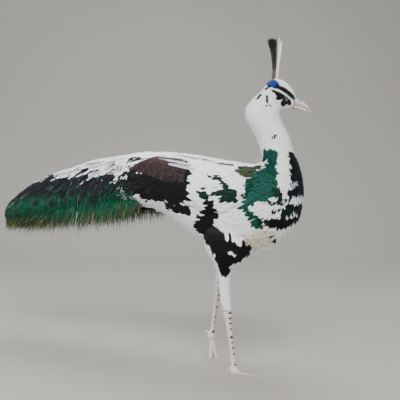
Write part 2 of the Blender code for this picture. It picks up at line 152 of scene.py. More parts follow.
def fused(name, nodes, voxel, smooth):
    """One closed mesh round several CAD nodes, and its points, normals and object."""
    all_points, all_faces, start = [], [], 0
    for node in nodes:
        points, faces = node_arrays(node)
        all_points.append(points)
        all_faces.append(faces + start)
        start += len(points)
    thing = mesh_piece(name, np.concatenate(all_points), np.concatenate(all_faces), None)
    weld = thing.modifiers.new("weld", "WELD")
    weld.merge_threshold = 0.00001
    swell = thing.modifiers.new("swell", "DISPLACE")
    swell.strength = 0.0006
    swell.mid_level = 0
    remesh = thing.modifiers.new("remesh", "REMESH")
    remesh.mode = "VOXEL"
    remesh.voxel_size = voxel
    relax = thing.modifiers.new("relax", "SMOOTH")
    relax.factor = 0.5
    relax.iterations = smooth
    graph = bpy.context.evaluated_depsgraph_get()
    mesh = bpy.data.meshes.new_from_object(thing.evaluated_get(graph))
    thing.modifiers.clear()
    thing.data = mesh
    mesh.name = name
    mesh.shade_smooth()
    points = np.empty(len(mesh.vertices) * 3)
    mesh.vertices.foreach_get("co", points)
    normals = np.empty(len(mesh.vertices) * 3)
    mesh.vertices.foreach_get("normal", normals)
    return thing, points.reshape(-1, 3), normals.reshape(-1, 3)


# Slices of the body from the bill to the end of the train: forward and height of the upper and of the lower
# edge, half the width, how far under the middle it is widest, and its share of the head's turn (centimetres).
SLICES = np.array(
    [
        (3.7, 68.7, 2.6, 66.1, 0.85, 0.10, 1.0),
        (2.6, 71.0, 1.9, 65.9, 1.50, 0.10, 1.0),
        (0.9, 72.8, 0.9, 65.6, 2.10, 0.05, 1.0),
        (-1.3, 73.6, 0.2, 65.4, 2.45, 0.05, 1.0),
        (-3.4, 72.9, -0.2, 65.0, 2.65, 0.10, 1.0),
        (-5.2, 70.6, -0.3, 64.3, 2.95, 0.10, 1.0),
        (-7.5, 68.5, 0.0, 63.3, 3.35, 0.05, 1.0),
        (-9.3, 66.0, 0.5, 62.0, 3.75, 0.00, 0.98),
        (-9.0, 63.2, 1.3, 60.5, 3.90, 0.00, 0.95),
        (-7.0, 59.9, 2.1, 58.8, 3.95, 0.00, 0.85),
        (-5.6, 56.6, 2.9, 56.2, 4.15, 0.00, 0.60),
        (-5.0, 54.2, 3.9, 53.4, 4.80, 0.00, 0.30),
        (-5.7, 53.0, 5.0, 49.6, 6.10, 0.00, 0.10),
        (-7.4, 52.6, 5.3, 44.6, 7.80, 0.00, 0.0),
        (-10.0, 53.0, 4.0, 38.4, 9.20, 0.00, 0.0),
        (-13.2, 53.6, 0.8, 33.4, 10.20, 0.00, 0.0),
        (-17.4, 54.3, -4.4, 29.5, 10.70, 0.00, 0.0),
        (-21.9, 55.2, -10.2, 28.4, 10.80, 0.00, 0.0),
        (-26.6, 56.0, -16.6, 30.2, 10.50, 0.00, 0.0),
        (-31.5, 56.6, -22.8, 32.8, 9.80, 0.00, 0.0),
        (-36.3, 56.9, -28.8, 37.3, 9.00, 0.05, 0.0),
        (-41.2, 56.8, -35.0, 40.2, 8.40, 0.12, 0.0),
        (-46.1, 56.4, -42.1, 40.6, 7.90, 0.18, 0.0),
        (-52.1, 55.8, -50.0, 39.7, 7.50, 0.22, 0.0),
        (-59.1, 55.1, -57.9, 39.0, 7.20, 0.25, 0.0),
        (-67.0, 53.2, -66.8, 38.2, 6.90, 0.25, 0.0),
        (-75.0, 51.4, -75.3, 36.9, 6.50, 0.25, 0.0),
        (-83.3, 48.4, -84.0, 35.8, 5.80, 0.20, 0.0),
        (-90.2, 44.6, -90.6, 35.2, 4.50, 0.15, 0.0),
        (-94.2, 42.2, -94.0, 36.2, 2.60, 0.10, 0.0),
    ]
)


def between(rows, at):
    """Rows of a table read smoothly between its entries (Catmull-Rom)."""
    rows, at = np.asarray(rows, float), np.asarray(at, float)
    last = len(rows) - 1
    i = np.clip(np.floor(at).astype(int), 0, last - 1)
    t = (at - i)[..., None]
    p1, p2 = rows[i], rows[i + 1]
    p0 = np.where((i > 0)[..., None], rows[np.maximum(i - 1, 0)], 2 * p1 - p2)
    p3 = np.where((i + 2 <= last)[..., None], rows[np.minimum(i + 2, last)], 2 * p2 - p1)
    cubic = (3 * p1 - p0 - 3 * p2 + p3) * t**3
    return 0.5 * (2 * p1 + (p2 - p0) * t + (2 * p0 - 5 * p1 + 4 * p2 - p3) * t * t + cubic)


def slice_at(at):
    """Middle, vector up to the upper edge, sideways direction, half width and droop of slices, in metres."""
    fb, zb, fv, zv, half, low, turn = np.moveaxis(between(SLICES, at), -1, 0)
    cosine, sine = np.cos(HEAD_TURN * turn), np.sin(HEAD_TURN * turn)
    upper = np.stack([NECK_AXIS[0] + fb * cosine, NECK_AXIS[1] + fb * sine, zb], -1) * CM
    lower = np.stack([NECK_AXIS[0] + fv * cosine, NECK_AXIS[1] + fv * sine, zv], -1) * CM
    side = np.stack([-sine, cosine, 0 * sine], -1)
    return (upper + lower) / 2, (upper - lower) / 2, side, half * CM, low


def head_place(forward, height, sideways=0.0):
    """A point given in the turned head's own directions (centimetres), in metres."""
    cosine, sine = math.cos(HEAD_TURN), math.sin(HEAD_TURN)
    x = NECK_AXIS[0] + forward * cosine - sideways * sine
    y = NECK_AXIS[1] + forward * sine + sideways * cosine
    return np.stack(np.broadcast_arrays(x, y, height), -1) * CM


class Sheet:
    """A surface that feathers lie on, as a grid of points: u runs with the lie of the coat and v across it."""

    def __init__(self, grid, us, vs, wraps):
        self.grid, self.us, self.vs, self.wraps = grid, us, vs, wraps
        along = np.gradient(grid, us, axis=0)
        if wraps:
            across = (np.roll(grid, -1, 1) - np.roll(grid, 1, 1)) / (2 * (vs[1] - vs[0]))
        else:
            across = np.gradient(grid, vs, axis=1)
        normal = np.cross(across, along)
        self.area = np.linalg.norm(normal, axis=-1)
        normal /= self.area[..., None] + 1e-12
        outward = grid - grid.mean(axis=1, keepdims=True)
        self.normal = normal if (normal * outward).sum() > 0 else -normal
        self.paces = np.linalg.norm(along, axis=-1)
        self.girths = np.linalg.norm(across, axis=-1)

    def read(self, field, u, v):
        """A field of the grid at places (u, v), read linearly between its points."""
        rows, cols = self.grid.shape[:2]
        a = (u - self.us[0]) / (self.us[1] - self.us[0])
        b = (v - self.vs[0]) / (self.vs[1] - self.vs[0])
        i = np.clip(np.floor(a).astype(int), 0, rows - 2)
        j = np.floor(b).astype(int) if self.wraps else np.clip(np.floor(b).astype(int), 0, cols - 2)
        fa, fb = a - i, b - j
        j, k = j % cols, (j + 1) % cols
        if field.ndim == 3:
            fa, fb = fa[..., None], fb[..., None]
        near = field[i, j] * (1 - fb) + field[i, k] * fb
        far = field[i + 1, j] * (1 - fb) + field[i + 1, k] * fb
        return near * (1 - fa) + far * fa

    def point(self, u, v):
        return self.read(self.grid, u, v)

    def out(self, u, v):
        normal = self.read(self.normal, u, v)
        return normal / (np.linalg.norm(normal, axis=-1, keepdims=True) + 1e-12)

    def pace(self, u, v):
        """Metres for each unit of u."""
        return np.maximum(self.read(self.paces, u, v), 1e-3)

    def girth(self, u, v):
        """Metres for each unit of v."""
        return np.maximum(self.read(self.girths, u, v), 1e-3)


def cast_sheet(slices, tree, start=0.2, outside_from=12.5):
    """A sheet round the body by rays: out from a slice's middle, or in from outside it further back."""
    grid = np.empty((len(slices), len(ROUND), 3))
    for i, at in enumerate(slices):
        middle, deep, side, _, _ = slice_at(at)
        reach = np.linalg.norm(deep)
        for j, angle in enumerate(ROUND):
            way = deep / reach * math.cos(angle) + side * math.sin(angle)
            if at < outside_from:
                hit = tree.ray_cast(Vector(middle), Vector(way), start)[0]
            else:
                hit = tree.ray_cast(Vector(middle + way * start), Vector(-way), start)[0]
            grid[i, j] = hit or middle + way * reach * 0.8
    return Sheet(grid, slices, ROUND, True)


def tree_of(nodes):
    """The CAD nodes' surfaces as one tree for rays."""
    points, faces, start = [], [], 0
    for node in nodes:
        node_points, node_faces = node_arrays(node)
        points.append(node_points)
        faces.append(node_faces + start)
        start += len(node_points)
    return BVHTree.FromPolygons(np.concatenate(points).tolist(), np.concatenate(faces).tolist())


ROUND = np.linspace(-math.pi, math.pi, 120, endpoint=False)
SKIN_SLICES = np.linspace(0.12, 21.9, 190)
# How deep the plumage is, in millimetres, at each slice of the body from the bill back.
DEPTHS = (0.5, 0.7, 0.9, 1.3, 1.8, 2.6, 3.2, 3.6, 3.8, 4.0, 4.3, 4.6, 5.0, 5.5) + 8 * (6.0,)
LEG_TOP, HOCK_HEIGHT, LEG_COAT = 0.27, 0.14, (0.0008, 0.004)

skin, skin_points, skin_normals = fused("skin", SKIN_NODES, VOXEL, 8)
body_sheet = cast_sheet(SKIN_SLICES, BVHTree.FromObject(skin, bpy.context.evaluated_depsgraph_get()), 0.3, 99)
trunk_nodes = [node for node in SKIN_NODES if not node.startswith("thigh")]
trunk_tree = tree_of(trunk_nodes)
trunk_sheet = cast_sheet(SKIN_SLICES, trunk_tree)

# The markings of a pied cock on its right side: a colour, the stroke's half width in centimetres, and the
# places that it runs through, as the slice of the body and degrees round from the back. The left side
# carries the same strokes, shifted a little. A later stroke lies over an earlier one. The broad beige
# stroke low on the belly is painted shade, not a marking.
COLOURS = {
    "white": ("#f5f9fb", 0.0),
    "beige": ("#e2d8c8", 0.0),
    "grey": ("#a9b0b6", 0.1),
    "lavender": ("#c7c4d0", 0.0),
    "black": ("#020305", 0.2),
    "dark": ("#03241f", 0.5),
    "green": ("#04463b", 0.7),
    "navy": ("#04161f", 0.55),
    "teal": ("#1d4a52", 0.3),
    "blue": ("#0b3a8c", 0.6),
    "olive": ("#2c3a1c", 0.3),
    "brown": ("#2c1a17", 0.15),
    "purple": ("#16121e", 0.35),
}
STROKES = [
    # head
    ("blue", 1.2, (4.0, 10), (3.6, 36)),
    ("blue", 0.7, (3.6, 49), (2.9, 66)),
    ("black", 0.72, (3.4, 50), (2.3, 66)),
    ("black", 0.80, (2.5, 68), (1.0, 75)),
    ("black", 0.44, (4.7, 22), (4.3, 28)),
    ("black", 0.36, (5.8, 25), (5.4, 23)),
    ("black", 0.27, (5.1, 50), (5.6, 71)),
    ("black", 0.18, (6.0, 75), (5.7, 83), (5.6, 99)),
    ("black", 0.36, (4.2, 47), (4.1, 64), (3.4, 78)),
    ("black", 0.60, (3.9, 105), (3.3, 111)),
    ("black", 0.62, (2.9, 135), (1.4, 133)),
    ("black", 0.49, (3.1, 142), (2.7, 146)),
    ("black", 0.80, (3.6, 88), (2.8, 104), (1.7, 116)),
    ("white", 0.24, (4.2, 42), (3.2, 74), (2.1, 95), (0.6, 98)),
    ("teal", 0.42, (0.4, 66), (0.1, 41)),
    # neck
    ("black", 0.27, (9.3, 82), (9.2, 97), (8.9, 112)),
    ("green", 1.5, (10.8, 48), (10.8, 80)),
    ("green", 1.6, (11.1, 70), (12.5, 96)),
    ("navy", 1.7, (10.9, 152), (11.5, 158), (12.1, 152), (12.6, 158)),
    ("navy", 1.2, (11.2, 176), (11.8, -176), (12.7, 179)),
    ("grey", 0.5, (12.7, 144), (12.5, 157)),
    ("navy", 0.9, (13.0, 146), (12.9, 175)),
    # back and breast
    ("olive", 1.7, (13.8, 35), (12.8, 52)),
    ("olive", 1.4, (13.7, 52), (13.5, 68)),
    ("green", 2.2, (12.9, 80), (13.7, 98)),
    ("green", 1.9, (13.9, 82), (14.5, 94)),
    ("green", 1.3, (12.6, 100), (13.4, 115)),
    ("green", 1.0, (14.0, 108), (14.6, 97)),
    ("teal", 0.5, (14.5, 92), (14.7, 95)),
    ("dark", 0.7, (13.2, 112), (13.4, 130)),
    ("white", 0.42, (11.5, 62), (11.7, 67)),
    ("white", 0.34, (12.8, 61), (12.7, 64)),
    ("grey", 0.3, (14.1, 110), (13.8, 125), (13.3, 145)),
    ("white", 0.35, (14.3, 105), (14.1, 120), (13.7, 140)),
    ("dark", 0.35, (13.9, 118), (13.6, 137), (13.2, 150)),
    ("black", 0.3, (14.2, 127), (13.8, 143), (13.4, 158)),
    ("green", 1.0, (15.1, 100), (15.1, 112), (15.0, 124)),
    ("green", 0.9, (15.2, 127), (15.0, 133)),
    ("dark", 0.8, (14.9, 128), (14.5, 140), (14.1, 153)),
    ("black", 1.3, (14.6, 142), (14.3, 158), (14.0, 178)),
    ("dark", 1.2, (13.9, 148), (13.6, 165), (13.5, -176)),
    # painted shade: a broad beige patch on the underside of the belly, where the white lies in shadow
    ("beige", 2.6, (15.7, 148), (15.3, 151)),
    ("black", 0.35, (15.0, 156), (15.2, 158), (15.2, 167)),
    ("black", 0.5, (17.4, 24), (16.2, 19), (14.8, 21)),
    # shoulder
    ("dark", 0.5, (16.0, 51), (15.85, 53)),
    ("dark", 0.5, (15.6, 53), (15.4, 57)),
    ("dark", 1.15, (16.7, 72), (16.5, 73)),
    ("dark", 1.0, (16.0, 73), (15.1, 79)),
    ("dark", 0.9, (15.4, 64), (15.4, 70)),
    ("dark", 0.8, (15.7, 80), (15.2, 85)),
    # wing and flank
    ("black", 3.9, (20.1, 93), (18.3, 76)),
    ("black", 2.4, (21.2, 66), (21.4, 100)),
    ("black", 2.01, (17.6, 49), (18.0, 82)),
    ("black", 1.85, (20.7, 86), (20.9, 116)),
    ("black", 1.7, (19.6, 56), (17.9, 50)),
    ("brown", 1.05, (19.4, 53), (17.9, 44)),
    ("lavender", 0.62, (18.6, 38), (17.5, 32)),
    ("black", 1.1, (19.5, 118), (18.0, 106)),
    ("white", 0.5, (21.2, 135), (20.6, 134), (19.8, 124)),
    ("black", 1.6, (16.6, 88), (16.9, 100)),
    ("black", 2.3, (17.3, 113), (17.7, 124)),
    ("black", 2.7, (17.7, 126), (17.1, 130)),
    ("black", 2.6, (17.2, 135), (16.6, 140)),
    ("black", 1.9, (17.4, 149), (16.4, 148)),
    ("black", 1.4, (16.2, 145), (16.1, 152)),
    ("black", 1.6, (17.4, 150), (17.5, 158)),
    ("white", 0.5, (16.7, 140), (16.6, 145)),
]
SIDE_SHIFT = (0.12, math.radians(5))  # how far the left side's strokes stray, along the body and round it
WAVE_LENGTHS = (0.7, 1.1, 1.6, 2.4, 3.4)  # centimetres
waves = rng.normal(size=(len(WAVE_LENGTHS), 3, 3))


def tone(name):
    return np.array([*linear(COLOURS[name][0]), COLOURS[name][1]])


def wander(points):
    """A smooth irregular shift of about one unit for points in centimetres."""
    moved = np.zeros_like(points)
    for wave, length in zip(waves, WAVE_LENGTHS):
        moved += np.sin(points @ wave / length * 2 + wave[0])
    return moved / len(WAVE_LENGTHS)


strokes = []
for hand in (-1, 1):
    for name, half, *path in STROKES:
        shift = rng.normal(size=2) * SIDE_SHIFT if hand > 0 else np.zeros(2)
        us = np.array([p[0] for p in path]) + shift[0]
        vs = hand * (np.radians([p[1] for p in path]) + shift[1])
        strokes.append((tone(name), half, body_sheet.point(us, vs) / CM))


def markings_and_shade(points):
    """The plumage's colour at points of the body in metres: linear red, green, blue, and how glossy it is."""
    raw = np.asarray(points) / CM
    spots = raw + wander(raw) * np.where(raw[:, 2] > 60, 0.1, 0.45)[:, None]
    colour = np.tile(tone("white"), (len(raw), 1))
    for shade, half, path in strokes:
        near = np.full(len(raw), np.inf)
        for a, b in zip(path, path[1:]):
            share = np.clip((spots - a) @ (b - a) / max((b - a) @ (b - a), 1e-6), 0, 1)
            near = np.minimum(near, np.linalg.norm(spots - a - share[:, None] * (b - a), axis=1))
        colour[near < half] = shade
    return colour


slice_middles = slice_at(np.arange(len(DEPTHS)))[0]
nearest = np.linalg.norm(skin_points[:, None] - slice_middles[None], axis=2).argmin(axis=1)
sink = np.array(DEPTHS)[nearest] / 1000
leg_sink = np.clip((skin_points[:, 2] - HOCK_HEIGHT) * 0.03, *LEG_COAT)
sink = np.where(skin_points[:, 2] < LEG_TOP, leg_sink, sink)
skin.data.vertices.foreach_set("co", (skin_points - skin_normals * sink[:, None]).astype(np.float32).ravel())
skin.data.update()
# painted shade: the down takes the plumage's colour made a fifth darker, for the shade under the feathers
skin_tint = np.c_[markings_and_shade(skin_points)[:, :3] * 0.8, np.ones(len(skin_points))]
layer = skin.data.color_attributes.new("Tint", "FLOAT_COLOR", "POINT")
layer.data.foreach_set("color", skin_tint.astype(np.float32).ravel())

skin_material, shader = new_material("downy_skin")
tint = add_node(skin_material, "ShaderNodeAttribute", attribute_name="Tint")
grain = add_node(skin_material, "ShaderNodeTexNoise", {"Scale": 420.0, "Detail": 3.0})
bump_inputs = {"Strength": 0.4, "Distance": 0.0006, "Height": grain.outputs["Fac"]}
bump = add_node(skin_material, "ShaderNodeBump", bump_inputs)
join_inputs(
    skin_material, shader, Base_Color=tint.outputs["Color"], Normal=bump.outputs["Normal"], Roughness=0.85
)
skin.data.materials.clear()
skin.data.materials.append(skin_material)
dress(skin, "body_plumage", *SKIN_NODES)

# ---- contour feathers of head, neck and body ----
# Small rounded vanes that overlap like tiles from the bill back to the rump. They are hardly longer than a
# grain of rice on the face and as long as a thumb on the lower back, and each takes the marking at its root.
FEATHER_SIZES = np.array(
    [
        # slice, length, half width and spacing in millimetres
        (0, 2.4, 0.55, 1.0),
        (1, 2.9, 0.65, 1.15),
        (2, 3.5, 0.75, 1.3),
        (3, 4.3, 0.9, 1.5),
        (4, 5.4, 1.1, 1.8),
        (6, 8.0, 1.6, 2.4),
        (8, 10.0, 2.0, 2.9),
        (10, 12.0, 2.5, 3.4),
        (12, 15.0, 3.2, 4.2),
        (14, 20.0, 4.2, 5.2),
        (16, 26.0, 5.4, 6.4),
        (18, 32.0, 6.4, 7.6),
        (20, 38.0, 7.0, 8.4),
        (22, 42.0, 7.5, 9.0),
    ],
    float,
)
PATCH = 0.003  # how wide a feather's patch is on the unwrap of the skin
BARB_LINES = 260.0  # ripples of the barbs along a vane


def vane_finish(name, barb_scale=24.0, matt=0.78, glossy=0.3, metallic=0.55, streak=(0.84, 1.12)):
    """Feather vane: keratin barbs that run slanting off a shaft. Iridescent ones are glossier and metallic."""
    material, shader = new_material(name)
    tint = add_node(material, "ShaderNodeAttribute", attribute_name="Tint")
    place = add_node(material, "ShaderNodeUVMap", uv_map="Vane")
    axes = add_node(material, "ShaderNodeSeparateXYZ", {"Vector": place.outputs["UV"]})
    middle = add_node(material, "ShaderNodeMath", {0: axes.outputs["X"], 1: 0.5}, operation="SUBTRACT")
    off = add_node(material, "ShaderNodeMath", {0: middle.outputs[0]}, operation="ABSOLUTE")
    slant = add_node(
        material, "ShaderNodeMath", {
            0: off.outputs[0], 1: -1.1, 2: axes.outputs["Y"]
        }, operation="MULTIPLY_ADD"
    )
    ripple = add_node(material, "ShaderNodeMath", {0: slant.outputs[0], 1: BARB_LINES}, operation="MULTIPLY")
    barbs = add_node(material, "ShaderNodeMath", {0: ripple.outputs[0]}, operation="SINE")
    shaft_inputs = {
        "Value": off.outputs[0], "From Min": 0.015, "From Max": 0.05, "To Min": 1.0, "To Max": 0.0
    }
    shaft = add_node(material, "ShaderNodeMapRange", shaft_inputs)
    streak_place = add_node(material, "ShaderNodeCombineXYZ", {"X": slant.outputs[0], "Y": axes.outputs["X"]})
    noise_inputs = {"Vector": streak_place.outputs[0], "Scale": barb_scale, "Detail": 2.0}
    streaks = add_node(material, "ShaderNodeTexNoise", noise_inputs)
    light_inputs = {"Value": streaks.outputs["Fac"], "From Min": 0.3, "From Max": 0.7}
    light = add_node(
        material, "ShaderNodeMapRange", light_inputs | {"To Min": streak[0], "To Max": streak[1]}
    )
    colour = add_node(
        material, "ShaderNodeVectorMath", {
            0: tint.outputs["Color"], "Scale": light.outputs[0]
        }, operation="SCALE"
    )
    height = add_node(
        material, "ShaderNodeMath", {
            0: shaft.outputs[0], 1: 3.0, 2: barbs.outputs[0]
        }, operation="MULTIPLY_ADD"
    )
    bump_inputs = {"Strength": 0.25, "Distance": 0.0003, "Height": height.outputs[0]}
    bump = add_node(material, "ShaderNodeBump", bump_inputs)
    gloss = add_node(
        material, "ShaderNodeMapRange", {"Value": tint.outputs["Alpha"], "To Min": matt, "To Max": glossy}
    )
    metal = add_node(
        material, "ShaderNodeMath", {0: tint.outputs["Alpha"], 1: metallic}, operation="MULTIPLY"
    )
    join_inputs(
        material,
        shader,
        Base_Color=colour.outputs[0],
        Roughness=gloss.outputs[0],
        Metallic=metal.outputs[0],
        Normal=bump.outputs["Normal"],
        Specular_IOR_Level=0.22,
        Sheen_Weight=0.03,
    )
    return material


feather_material = vane_finish("feather_vane")


def rounded(t):
    """Width of a contour feather along its length, as a share of its widest."""
    return np.clip(0.25 + 1.25 * t, 0, 1) * np.sqrt(np.clip(1 - (t * 0.985) ** 5, 0, 1))


def lay(sheet, u, v, length, half, low, high, tints, slant=0.0, rows=5, cols=3, cup=0.25, shape=rounded):
    """Vanes along a sheet from roots (u, v). low and high are their height over it at the quill and the tip."""
    count = len(u)
    t, s = np.linspace(0, 1, rows), np.linspace(-1, 1, cols)
    low, high, slant = (np.broadcast_to(x, count)[:, None] for x in (low, high, slant))
    uu = u[:, None] + (length / sheet.pace(u, v))[:, None] * t
    vv = v[:, None] + slant * t
    out = sheet.out(uu, vv)
    spine = sheet.point(uu, vv)
    along = np.gradient(spine, axis=1)
    along /= np.linalg.norm(along, axis=-1, keepdims=True) + 1e-12
    side = np.cross(out, along)
    spine = spine + out * (low + (high - low) * t)[..., None]
    width = half[:, None] * shape(t)
    points = spine[:, :, None] + side[:, :, None] * (width[:, :, None] * s)[..., None]
    points = points - out[:, :, None] * (cup * width[:, :, None] * s**2)[..., None]
    if tints.ndim == 2:
        tints = np.repeat(np.repeat(tints[:, None, None], rows, 1), cols, 2)
    tints = tints.copy()
    # painted shade: each vane darkens towards its quill, to 0.84 of its colour, for the shade where feathers overlap
    tints[..., :3] *= (0.84 + 0.16 * np.clip(t * 1.6, 0, 1))[None, :, None, None]
    return bundle(sheet, u, v, points, tints)


def bundle(sheet, u, v, points, tints):
    """Grids of points (feather, along, across) as one set of faces, with both of the vanes' maps."""
    count, rows, cols = points.shape[:3]
    span = np.clip((u - sheet.us[0]) / (sheet.us[-1] - sheet.us[0]), 0, 1)
    turn = np.clip((v - sheet.vs[0]) / (sheet.vs[-1] - sheet.vs[0]), 0, 1)
    corner = 0.02 + 0.95 * np.stack([turn, span], -1)
    inside = np.stack(np.meshgrid(np.linspace(0, 1, rows), np.linspace(0, 1, cols), indexing="ij")[::-1], -1)
    bake = corner[:, None, None] + inside * PATCH
    vane = np.broadcast_to(inside, (count, rows, cols, 2))
    first = np.arange(count)[:, None, None] * rows * cols
    quad = first + (np.arange(rows - 1)[:, None] * cols + np.arange(cols - 1))
    faces = np.stack([quad, quad + 1, quad + cols + 1, quad + cols], -1).reshape(-1, 4)
    return points.reshape(-1, 3), faces, tints.reshape(-1, 4), bake.reshape(-1, 2), vane.reshape(-1, 2)


def coat_piece(name, parts, slot, material):
    """One mesh piece from several sets of vanes."""
    start, faces = 0, []
    for part in parts:
        faces.append(part[1] + start)
        start += len(part[0])
    points, tints, bake, vane = (np.concatenate([part[k] for part in parts]) for k in (0, 2, 3, 4))
    piece = mesh_piece(name, points, np.concatenate(faces), material, tints, bake, vane)
    dress(piece, slot)
    return piece


def scatter(sheet, spacing, keep):
    """Evenly strewn roots (u, v) on a sheet, spacing(u, v) metres apart, where keep(u, v) is 1."""
    uu, vv = np.meshgrid(sheet.us, sheet.vs, indexing="ij")
    step_u, step_v = sheet.us[1] - sheet.us[0], sheet.vs[1] - sheet.vs[0]
    wanted = sheet.area * step_u * step_v / spacing(uu, vv) ** 2 * keep(uu, vv)
    count = int(wanted.sum())
    k = np.arange(count)
    x, y = (0.5 + k * 0.7548776662) % 1, (0.5 + k * 0.5698402910) % 1
    by_row = np.concatenate([[0], np.cumsum(wanted.sum(axis=1))])
    row = np.interp(x * by_row[-1], by_row, np.arange(len(by_row)))
    index = np.minimum(row.astype(int), len(sheet.us) - 1)
    u = sheet.us[0] + (row - 0.5) * step_u
    edges = np.concatenate([sheet.vs - step_v / 2, [sheet.vs[-1] + step_v / 2]])
    v = np.empty(count)
    for i in np.unique(index):
        chosen = index == i
        total = np.concatenate([[0], np.cumsum(wanted[i] + 1e-12)])
        v[chosen] = np.interp(y[chosen] * total[-1], total, edges)
    return u, v


def varied(values, spread):
    return values * (1 + rng.normal(0, spread, len(values)))


def toned(tints, spread):
    """The same colours, each feather a little lighter or darker."""
    tints = tints.copy()
    tints[:, :3] *= (1 + rng.normal(0, spread, len(tints)))[:, None]
    return tints


EYE_AT, EYE_RADIUS = (0.7, 68.4, 1.62), 0.0056  # forward, height and distance from the head's middle
EYE_CLEAR = 0.0068
SHOWN = 0.75  # how far along a feather the part that shows lies
eye_middles = [head_place(EYE_AT[0], EYE_AT[1], side * EYE_AT[2]) for side in (-1, 1)]


def contour_coat(first, last):
    u, v = scatter(
        trunk_sheet,
        lambda uu, vv: np.interp(uu, FEATHER_SIZES[:, 0], FEATHER_SIZES[:, 3]) / 1000,
        lambda uu, vv: ((uu >= first) & (uu < last)).astype(float),
    )
    length, half = (
        varied(np.interp(u, FEATHER_SIZES[:, 0], FEATHER_SIZES[:, k]) / 1000, 0.1) for k in (1, 2)
    )
    clear = np.ones(len(u), bool)
    for middle in eye_middles:
        for share in (0, 0.5, 1):
            along = trunk_sheet.point(u + share * length / trunk_sheet.pace(u, v), v)
            clear &= np.linalg.norm(along - middle, axis=1) > EYE_CLEAR
    u, v, length, half = u[clear], v[clear], length[clear], half[clear]
    depth = np.interp(u, np.arange(len(DEPTHS)), DEPTHS) / 1000
    tints = toned(markings_and_shade(trunk_sheet.point(u + SHOWN * length / trunk_sheet.pace(u, v), v)), 0.035)
    high = -depth * rng.uniform(0.0, 0.35, len(u))
    return [lay(trunk_sheet, u, v, length, half, -depth * 0.95, high, tints, rng.normal(0, 0.03, len(u)))]


coat_piece("coat_head", contour_coat(0.3, 6.0), "body_plumage", feather_material)
coat_piece("coat_neck", contour_coat(6.0, 12.0), "body_plumage", feather_material)
coat_piece("coat_body", contour_coat(12.0, 21.7), "body_plumage", feather_material)

# ---- feathers of the thighs ----
# Soft feathers that point down the leg and end in a short close sleeve above the hock. Their sheet is cast
# round a line down each leg, given as distance from the hock in centimetres.
HOCK = {"right": (31.37, -5.0, 15.6), "left": (23.47, 5.4, 20.9)}
LEG_LINES = {
    "right": [
        (0.2, -1.6, 20.0), (0.9, -1.2, 15.4), (0.5, -0.6, 12.4), (-0.6, -0.2, 10.2), (-0.7, 0, 6),
        (0, 0, 0.7)
    ],
    "left": [
        (5.4, 0.1, 13.6), (4.3, 0.1, 10.4), (2.6, 0.0, 7.6), (1.1, 0.0, 4.8), (0.4, 0.0, 2.4), (0, 0, 0.6)
    ],
}
LEG_REACH = 0.12
LEG_FEATHERS = ((26.0, 5.4, 6.0), (8.0, 1.7, 2.4))  # length, half width and spacing in mm, above and below


def leg_sheet(side):
    tree = tree_of(["thigh_" + side])
    downs, rounds = np.linspace(0, 1, 60), np.linspace(-math.pi, math.pi, 72, endpoint=False)
    grid = np.empty((60, 72, 3))
    for i, down in enumerate(downs):
        middle = (np.array(HOCK[side]) + between(LEG_LINES[side], 5 * down)) * CM
        for j, angle in enumerate(rounds):
            way = Vector((math.cos(angle), math.sin(angle), 0))
            hit = tree.ray_cast(Vector(middle) + way * LEG_REACH, -way, LEG_REACH)[0]
            grid[i, j] = hit or middle + np.array(way) * 0.01
    return Sheet(grid, downs, rounds, True)


leg_parts = []
for side in ("right", "left"):
    legs = leg_sheet(side)

    def leg_size(uu, k):
        return np.interp(uu, (0.35, 0.75), (LEG_FEATHERS[0][k], LEG_FEATHERS[1][k])) / 1000

    u, v = scatter(legs, lambda uu, vv: leg_size(uu, 2), lambda uu, vv: (uu < 0.985).astype(float))
    roots = legs.point(u, v)
    buried = []
    for root in roots:
        spot, normal = trunk_tree.find_nearest(Vector(root))[:2]
        buried.append((Vector(root) - spot).dot(normal) < -0.001)
    keep = ~np.array(buried)
    u, v, roots = u[keep], v[keep], roots[keep]
    length, half = varied(leg_size(u, 0), 0.1), varied(leg_size(u, 1), 0.1)
    length = np.minimum(length, (1.02 - u) * legs.pace(u, v))
    depth = np.interp(u, (0.3, 0.9), (0.005, 0.0012))
    high = -depth * rng.uniform(0, 0.3, len(u))
    tints = toned(markings_and_shade(legs.point(u + SHOWN * length / legs.pace(u, v), v)), 0.035)
    leg_parts.append(lay(legs, u, v, length, half, -depth, high, tints))
coat_piece("coat_thighs", leg_parts, "body_plumage", feather_material)

# ---- wings ----
# The folded wing: dark secondaries stacked like a shut fan, with barred tertials over them at the top. Their
# roots lie under the coverts of the body's coat.
QUILLS = 15
QUILL_ROOT, QUILL_TIP = (17.4, 18.3), (21.75, 20.9)  # slices, for the topmost quill and for the lowest
QUILL_TOP, QUILL_BOTTOM = (50, 38), (100, 104)  # degrees round from the back, at the root and the tip
QUILL_HALF = 0.015
TERTIALS = 6
quill_material = vane_finish("wing_quill", 40.0, 0.5, 0.35, 0.3, (0.7, 1.3))


def quill_shape(t):
    """Width along a long quill feather: parallel edges and a blunt tip."""
    return np.clip(0.45 + 2.5 * t, 0, 1) * np.sqrt(np.clip(1 - (t * 0.99) ** 9, 0, 1))


